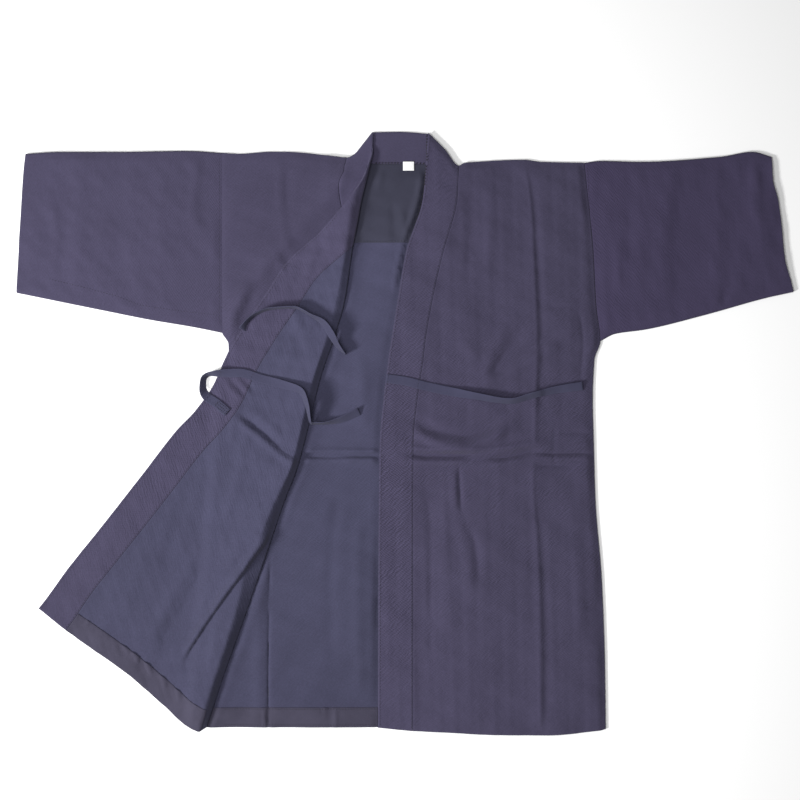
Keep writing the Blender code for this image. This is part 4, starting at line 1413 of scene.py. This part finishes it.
def tape(name, route):
    """A tape laid over whatever is below its route, and turned on its edge where the route says."""
    thickness, width = sizes().tape, sizes().tape_width
    lengths = lengths_along(route)
    table = [Stop(at, *point) for at, point in zip(lengths, route)]
    inner = np.linspace(0, lengths[-1], round(lengths[-1] / TAPE_STEP) + 1)[1:-1]
    places = np.concatenate([TAPE_ENDS, inner, lengths[-1] - TAPE_ENDS[::-1]])
    x, y, turn = (read(table, axis, places) for axis in ("x", "y", "turn"))
    run = np.stack([np.gradient(x, places), np.gradient(y, places)], -1)
    run /= np.linalg.norm(run, axis=1, keepdims=True)
    side = np.stack([-run[:, 1], run[:, 0]], -1)
    turn = np.radians(turn)
    floors = []
    for n in range(len(places)):
        half = width / 2 * cos(turn[n]) + thickness
        near = [
            top_at(x[n] + side[n, 0] * w + run[n, 0] * v, y[n] + side[n, 1] * w + run[n, 1] * v)
            for w in np.linspace(-half, half, TAPE_FEELERS)
            for v in (-TAPE_STEP, 0.0, TAPE_STEP)
        ]
        floors.append(max(near))
    floors = np.array(floors)
    apart = np.abs(places[None, :] - places[:, None])
    floor = (floors[None, :] - TAPE_SLOPE * apart).max(axis=1)
    middle = floor + 2 * GAP + width / 2 * np.abs(np.sin(turn)) + thickness / 2 * np.cos(turn)
    across = np.stack([side[:, 0] * np.cos(turn), side[:, 1] * np.cos(turn), np.sin(turn)], -1)
    face = np.stack([-side[:, 0] * np.sin(turn), -side[:, 1] * np.sin(turn), np.cos(turn)], -1)
    w = stations(-width / 2, width / 2, TAPE_COLUMNS, thickness / 2)[None, :, None]
    centre = np.stack([x, y, middle], -1)
    grid = centre[:, None] + across[:, None] * w
    normal = np.broadcast_to(face[:, None], grid.shape)
    edge_across = np.minimum(w + width / 2, width / 2 - w)[..., 0]
    edge_along = np.minimum(places - places[0], places[-1] - places)[:, None]
    edge = np.minimum(edge_across, edge_along) + np.zeros(grid.shape[:2])
    spots = np.stack(np.broadcast_arrays(w[..., 0], places[:, None], np.zeros(1)), -1)
    return wall(name, grid, normal, thickness, edge, spots, [finish_named("tie_cloth")])


def stitches(name, lines, closeness=1.0, width=STITCH_WIDTH):
    """Short threads that lie on the cloth along each line, dipping into it at both ends."""
    sides, rings = STITCH_SIDES, STITCH_RINGS
    points, faces, spots = [], [], []
    for line in lines:
        line = [Vector((*point, 0)) for point in line]
        lengths = lengths_along(line)
        step = sizes().stitch * closeness
        count = max(int(lengths[-1] / step), 1)
        for n in range(count):
            at = (n + 0.5) * lengths[-1] / count
            i = min(max(k for k in range(len(lengths)) if lengths[k] <= at), len(line) - 2)
            heading = (line[i + 1] - line[i]).normalized()
            centre = line[i] + heading * (at - lengths[i])
            aside = Vector((-heading.y, heading.x, 0))
            reach = STITCH_LENGTH * closeness / 2
            first, last = (centre + heading * k * reach for k in (-1, 1))
            heights = [top_at(spot.x, spot.y) for spot in (first, centre, last)]
            if max(heights) - min(heights) > STITCH_STEP or min(heights) < STITCH_FLOOR:
                continue
            base = len(points)
            for r, thick in enumerate(rings):
                share = r / (len(rings) - 1) * 2 - 1
                ground = mix(heights[1], heights[0] if share < 0 else heights[2], abs(share))
                middle = centre + heading * share * reach
                height = ground + width * (0.30 - 0.65 * share**4)
                for s in range(sides):
                    angle = 2 * pi * s / sides
                    radius = width / 2 * thick
                    spot = middle + aside * radius * cos(angle)
                    points.append((spot.x, spot.y, height + radius * sin(angle)))
                    spots.append((at + share * reach, angle * 0.0003, 0.0))
            for r in range(len(rings) - 1):
                for s in range(sides):
                    a, b = base + r * sides + s, base + r * sides + (s + 1) % sides
                    faces.append((a, b, b + sides, a + sides))
            faces.append(tuple(base + s for s in reversed(range(sides))))
            faces.append(tuple(base + (len(rings) - 1) * sides + s for s in range(sides)))
    mesh = bpy.data.meshes.new(name)
    mesh.from_pydata(points, [], faces)
    cloth = mesh.attributes.new("cloth", "FLOAT_VECTOR", "POINT")
    cloth.data.foreach_set("vector", np.array(spots, float).ravel())
    mesh.shade_smooth()
    mesh.materials.append(finish_named("sewing_thread"))
    piece = bpy.data.objects.new(name, mesh)
    bpy.context.scene.collection.objects.link(piece)
    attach(piece, "root")


def line_on(surface, places, levels):
    """The plan of a line on a piece, from its places across and down it."""
    places, levels = np.broadcast_arrays(np.asarray(places, float), np.asarray(levels, float))
    points = surface(places[None, :], levels[None, :])[0]
    return [(float(p[0]), float(p[1])) for p in points]


# Operators


class JACKET_OT_back(bpy.types.Operator):
    """Cuts the back with its upper lining and hem facing"""

    bl_idname = "jacket.back"
    bl_label = "Back"

    def execute(self, context):
        cloth, lining = sizes().cloth, sizes().lining
        levels = with_waist(levels_between(LEFT_TOP_LEVEL, HEM, "back"))
        left, right = read(RIGHT_FRONT, "side", levels), read(LEFT_FRONT, "side", levels)
        place = places_between(left, right, "back")
        closer = np.broadcast_to(CREASE_COLUMNS, (len(levels), len(CREASE_COLUMNS)))
        place = np.sort(np.concatenate([place, closer], axis=1), axis=1)
        back = skin("back", back_surface, place, levels, cloth, both_faces()[::-1])
        declare(back, ["back_panel"])

        def lining_surface(x, down):
            top = np.minimum(read(NECK_SEAM, "y", x), NECK_SEAM[2].y) - SEAM
            y = mix(top, YOKE_BOTTOM, down / LINING_LENGTH)
            return np.stack([x, y, cloth + GAP + lining / 2 + back_relief(x, y)], -1)

        levels = levels_between(0.0, LINING_LENGTH, "back_lining")
        place = places_between(np.full(len(levels), YOKE_LEFT), YOKE_RIGHT, "back_lining")
        cloths = [finish_named("lining_cloth")]
        piece = skin("back_lining", lining_surface, place, levels, lining, cloths)
        declare(piece, ["yoke_lining"])

        def facing_surface(x, level):
            gathers = pucker(HEM + FACING_WIDTH - level, x, seed=41, height=0.0005)
            z = cloth + GAP + lining / 2 + back_relief(x, level) + facing_relief(x, level, gathers)
            return np.stack([x, level, z - sewn_down(level)], -1)

        levels = levels_between(HEM + FACING_WIDTH, HEM + GAP, "back_hem_facing")
        left = read(RIGHT_FRONT, "fold", levels) + cloth / 2 + 2 * GAP
        right = read(LEFT_FRONT, "edge", levels) - GAP
        place = places_between(left, right, "back_hem_facing")
        cloths = [finish_named("facing_cloth")]
        piece = skin("back_hem_facing", facing_surface, place, levels, lining, cloths)
        declare(piece, ["hem_facing_back"])
        return {"FINISHED"}


class JACKET_OT_neck(bpy.types.Operator):
    """Cuts the neck stretch of the band and its bare tag"""

    bl_idname = "jacket.neck"
    bl_label = "Neck"

    def execute(self, context):
        band, lining = sizes().band, sizes().lining
        share = stations(0.0, 1.0, NECK_ROWS, ROUNDING / NECK_WIDTH)
        run = stations(np.zeros(len(share)), 1.0, NECK_COLUMNS, ROUNDING / NECK_LENGTH)
        share = np.broadcast_to(share[:, None], run.shape)
        middle = neck_surface(run, share)
        normal = np.broadcast_to(np.array([0.0, 0.0, 1.0]), middle.shape)
        edge = np.minimum(
            np.minimum(run, 1 - run) * NECK_LENGTH, np.minimum(share, 1 - share) * NECK_WIDTH
        )
        spots = np.stack([middle[..., 0], middle[..., 1], np.zeros_like(run)], -1)
        cloths = [finish_named("cotton_right_sleeve")]
        piece = wall("neck_band", middle, normal, band, edge, spots, cloths)
        declare(piece, ["collar_neck"])

        def tag_surface(x, y):
            lift = 0.0005 * np.sin(pi * (x - LABEL_LEFT) / (LABEL_RIGHT - LABEL_LEFT))
            return np.stack([x, y, band + 2 * GAP + lining / 2 + lift], -1)

        levels = levels_between(LABEL_TOP, LABEL_BOTTOM, "neck_tag")
        place = places_between(np.full(len(levels), LABEL_LEFT), LABEL_RIGHT, "neck_tag")
        cloths = [finish_named("tag_cloth")]
        tag = skin("neck_tag", tag_surface, place, levels, lining * 0.9, cloths)
        declare(tag, ["label"])
        return {"FINISHED"}


class JACKET_OT_right_front(bpy.types.Operator):
    """Cuts the right front, turned open, with its stretch of the band and its hem facing"""

    bl_idname = "jacket.right_front"
    bl_label = "Right front"

    def execute(self, context):
        cloth, band, lining = sizes().cloth, sizes().band, sizes().lining
        turned = turned_surface(False)
        levels = levels_between(SHOULDER, HEM, "right_front")
        place = right_columns(levels, False, DIVIDED["right_front"][1])
        front = skin("right_front", turned, place, levels, cloth, both_faces())
        declare(front, ["front_right"])

        levels = levels_between(SHOULDER, HEM, "right_band")
        place = right_columns(levels, True, DIVIDED["right_band"][1])
        cloths = [finish_named("cotton_turned_band")]
        strip = skin("right_band", turned_surface(True), place, levels, band, cloths)
        declare(strip, ["collar_right"])

        def facing_surface(place, level):
            point = turned(place, level)
            gathers = pucker(HEM + FACING_WIDTH - level, place, seed=43, height=0.0007)
            point[..., 2] += facing_relief(point[..., 0], point[..., 1], gathers)
            point[..., 2] -= sewn_down(level)
            return point

        name = "right_front_hem_facing"
        levels = levels_between(HEM + FACING_WIDTH, HEM, name)
        first, last = roll_places(levels)[1], right_columns(levels, False, (0, 0, 10))[:, -1]
        place = places_between(mix(first, last, 0.035), last, name)
        lift = cloth / 2 + GAP + lining / 2
        cloths = [finish_named("facing_cloth")]
        facing = skin(name, facing_surface, place, levels, lining, cloths, lift)
        declare(facing, ["hem_facing_front"])
        return {"FINISHED"}


class JACKET_OT_left_front(bpy.types.Operator):
    """Cuts the left front with its stretch of the band"""

    bl_idname = "jacket.left_front"
    bl_label = "Left front"

    def execute(self, context):
        cloth, band = sizes().cloth, sizes().band
        levels = with_waist(levels_between(LEFT_TOP_LEVEL, LEFT_BOTTOM_LEVEL, "left_front"))
        seam, side = read(LEFT_FRONT, "seam", levels) + SEAM, read(LEFT_FRONT, "side", levels)
        place = places_between(seam, side, "left_front")
        front = skin("left_front", left_surface(False), place, levels, cloth, both_faces())
        declare(front, ["front_left"])

        levels = levels_between(LEFT_TOP_LEVEL, LEFT_BOTTOM_LEVEL, "left_band")
        edge, seam = read(LEFT_FRONT, "edge", levels), read(LEFT_FRONT, "seam", levels)
        place = places_between(edge, seam, "left_band")
        cloths = both_faces("cotton_band")
        strip = skin("left_band", left_surface(True), place, levels, band, cloths)
        declare(strip, ["collar_left"])
        return {"FINISHED"}


class JACKET_OT_sleeves(bpy.types.Operator):
    """Cuts both sleeves, each folded into a flat tube"""

    bl_idname = "jacket.sleeves"
    bl_label = "Sleeves"

    def execute(self, context):
        def right_armhole(share):
            return RIGHT_FRONT[0].side + 0 * share, mix(RIGHT_TOP[0].y, RIGHT_UNDER[0].y, share)

        def left_armhole(share):
            y = mix(LEFT_TOP[0].y, LEFT_UNDER[0].y, share)
            return read(LEFT_FRONT, "side", y), y

        right = (right_armhole, RIGHT_CUFF, RIGHT_TOP, RIGHT_UNDER, SLEEVE_RIGHT_CREASES, 51)
        left = (left_armhole, LEFT_CUFF, LEFT_TOP, LEFT_UNDER, SLEEVE_LEFT_CREASES, 52)
        sleeves = (
            ("right_sleeve", "sleeve_right", right, 1),
            ("left_sleeve", "sleeve_left", left, -1),
        )
        for name, node, shape, facing in sleeves:
            grid, normal, edge, spots = sleeve_grid(*shape)
            normal, cloths = normal * facing, both_faces("cotton_" + name)
            piece = wall(name, grid, normal, sizes().cloth, edge, spots, cloths, wrap=True)
            declare(piece, [node])
        return {"FINISHED"}


class JACKET_OT_ties(bpy.types.Operator):
    """Lays the three chest ties"""

    bl_idname = "jacket.ties"
    bl_label = "Ties"

    def execute(self, context):
        ties = (
            ("upper_tie", UPPER_TIE, "tie_upper", ["right_band"]),
            ("lower_tie", LOWER_TIE, "tie_lower", ["right_front", "right_band"]),
            ("left_tie", LEFT_TIE, "tie_left", ["left_front", "left_band"]),
        )
        for name, route, node, below in ties:
            piece = tape(name, route)
            declare(piece, [node])
        return {"FINISHED"}


class JACKET_OT_stitches(bpy.types.Operator):
    """Sews the seams, the hems and the ties' boxes, and lays one dark thread as painted shade
    beside the left band
    """

    bl_idname = "jacket.stitches"
    bl_label = "Stitches"

    def execute(self, context):
        inset, free = 0.0022, 0.003
        levels = np.linspace(LEFT_TOP_LEVEL - 0.004, LEFT_BOTTOM_LEVEL + 0.003, 160)
        seam, edge = read(LEFT_FRONT, "seam", levels), read(LEFT_FRONT, "edge", levels)
        surface = left_surface(True)
        lines = [line_on(surface, seam - inset, levels), line_on(surface, edge + free, levels)]
        stitches("left_band_stitches", lines)

        levels = np.linspace(0.30, HEM + 0.003, 150)
        reach, width = right_at(levels, "reach", "band")
        turned = roll_places(levels)[1]
        edge, seam = turned + reach, turned + reach - width
        shown = seam > turned + 0.004
        surface = turned_surface(True)
        lines = [line_on(surface, (seam + inset)[shown], levels[shown])]
        lines.append(line_on(surface, edge - free, levels))
        stitches("right_band_stitches", lines)
        for name, closeness, width, lines in SEWN_LINES:
            lines = [[(x / 1000, y / 1000) for x, y in line] for line in lines]
            stitches(name, lines, closeness, width)
        return {"FINISHED"}


class JACKET_OT_stage(bpy.types.Operator):
    """Sets the pale surface, the soft light and the camera"""

    bl_idname = "jacket.stage"
    bl_label = "Stage"

    def execute(self, context):
        stage = context.scene.jacket_stage
        shape = bmesh.new()
        bmesh.ops.create_grid(shape, x_segments=2, y_segments=2, size=FLOOR_HALF)
        mesh = bpy.data.meshes.new("floor")
        shape.to_mesh(mesh)
        shape.free()
        floor = bpy.data.objects.new("floor", mesh)
        context.scene.collection.objects.link(floor)
        finish = bpy.data.materials.new("pale_floor")
        finish.use_nodes = True
        shader = finish.node_tree.nodes["Principled BSDF"]
        shader.inputs["Base Color"].default_value = (*colours().floor, 1.0)
        shader.inputs["Roughness"].default_value = 0.9
        shader.inputs["Specular IOR Level"].default_value = 0.1
        mesh.materials.append(finish)

        world = context.scene.world or bpy.data.worlds.new("studio")
        context.scene.world = world
        world.use_nodes = True
        back = world.node_tree.nodes["Background"]
        back.inputs["Color"].default_value = (1.0, 1.0, 1.0, 1.0)
        back.inputs["Strength"].default_value = stage.fill

        # Name, power, size, place and what it is aimed at.
        lamps = (
            ("key", stage.key, 0.5, (-2.2, -0.9, 1.5), (0.0, 0.05, 0.0)),
            ("overhead", stage.overhead, 0.9, (-0.45, 0.05, 1.6), (-0.35, 0.05, 0.0)),
        )
        for name, power, size, place, aim in lamps:
            lamp = bpy.data.lights.new(name, "AREA")
            lamp.energy = power
            lamp.size = size
            light = bpy.data.objects.new(name, lamp)
            light.location = place
            ray = Vector(aim) - light.location
            light.rotation_euler = ray.to_track_quat("-Z", "Y").to_euler()
            light.visible_camera = False
            context.scene.collection.objects.link(light)

        camera = bpy.data.cameras.new("above")
        camera.lens = stage.lens
        camera.sensor_width = 36.0
        above = bpy.data.objects.new("above", camera)
        above.location = (CAMERA_X, CAMERA_Y, stage.height)
        context.scene.collection.objects.link(above)
        context.scene.camera = above
        context.scene.view_settings.view_transform = "Standard"
        return {"FINISHED"}


STEPS = (
    JACKET_OT_back,
    JACKET_OT_neck,
    JACKET_OT_right_front,
    JACKET_OT_left_front,
    JACKET_OT_sleeves,
    JACKET_OT_ties,
    JACKET_OT_stitches,
    JACKET_OT_stage,
)


class JACKET_PT_panel(bpy.types.Panel):
    """Lists the jacket's pieces, sizes and colours"""

    bl_idname = "JACKET_PT_panel"
    bl_label = "Kendo jacket"
    bl_space_type = "VIEW_3D"
    bl_region_type = "UI"
    bl_category = "Jacket"

    def draw(self, context):
        scene = context.scene
        for group in (scene.jacket_sizes, scene.jacket_colours, scene.jacket_stage):
            box = self.layout.box()
            for name in group.__annotations__:
                box.prop(group, name)
        for step in STEPS:
            self.layout.operator(step.bl_idname)


GROUPS = {
    "jacket_sizes": JacketSizes,
    "jacket_colours": JacketColours,
    "jacket_stage": JacketStage,
}


def register():
    for made in (*GROUPS.values(), *STEPS, JACKET_PT_panel):
        bpy.utils.register_class(made)
    for name, group in GROUPS.items():
        setattr(bpy.types.Scene, name, bpy.props.PointerProperty(type=group))


def unregister():
    for name in GROUPS:
        delattr(bpy.types.Scene, name)
    for made in reversed((*GROUPS.values(), *STEPS, JACKET_PT_panel)):
        bpy.utils.unregister_class(made)


def main():
    register()
    for step in STEPS:
        group, name = step.bl_idname.split(".")
        getattr(getattr(bpy.ops, group), name)()
    bpy.context.view_layer.update()


if __name__ == "__main__":
    main()
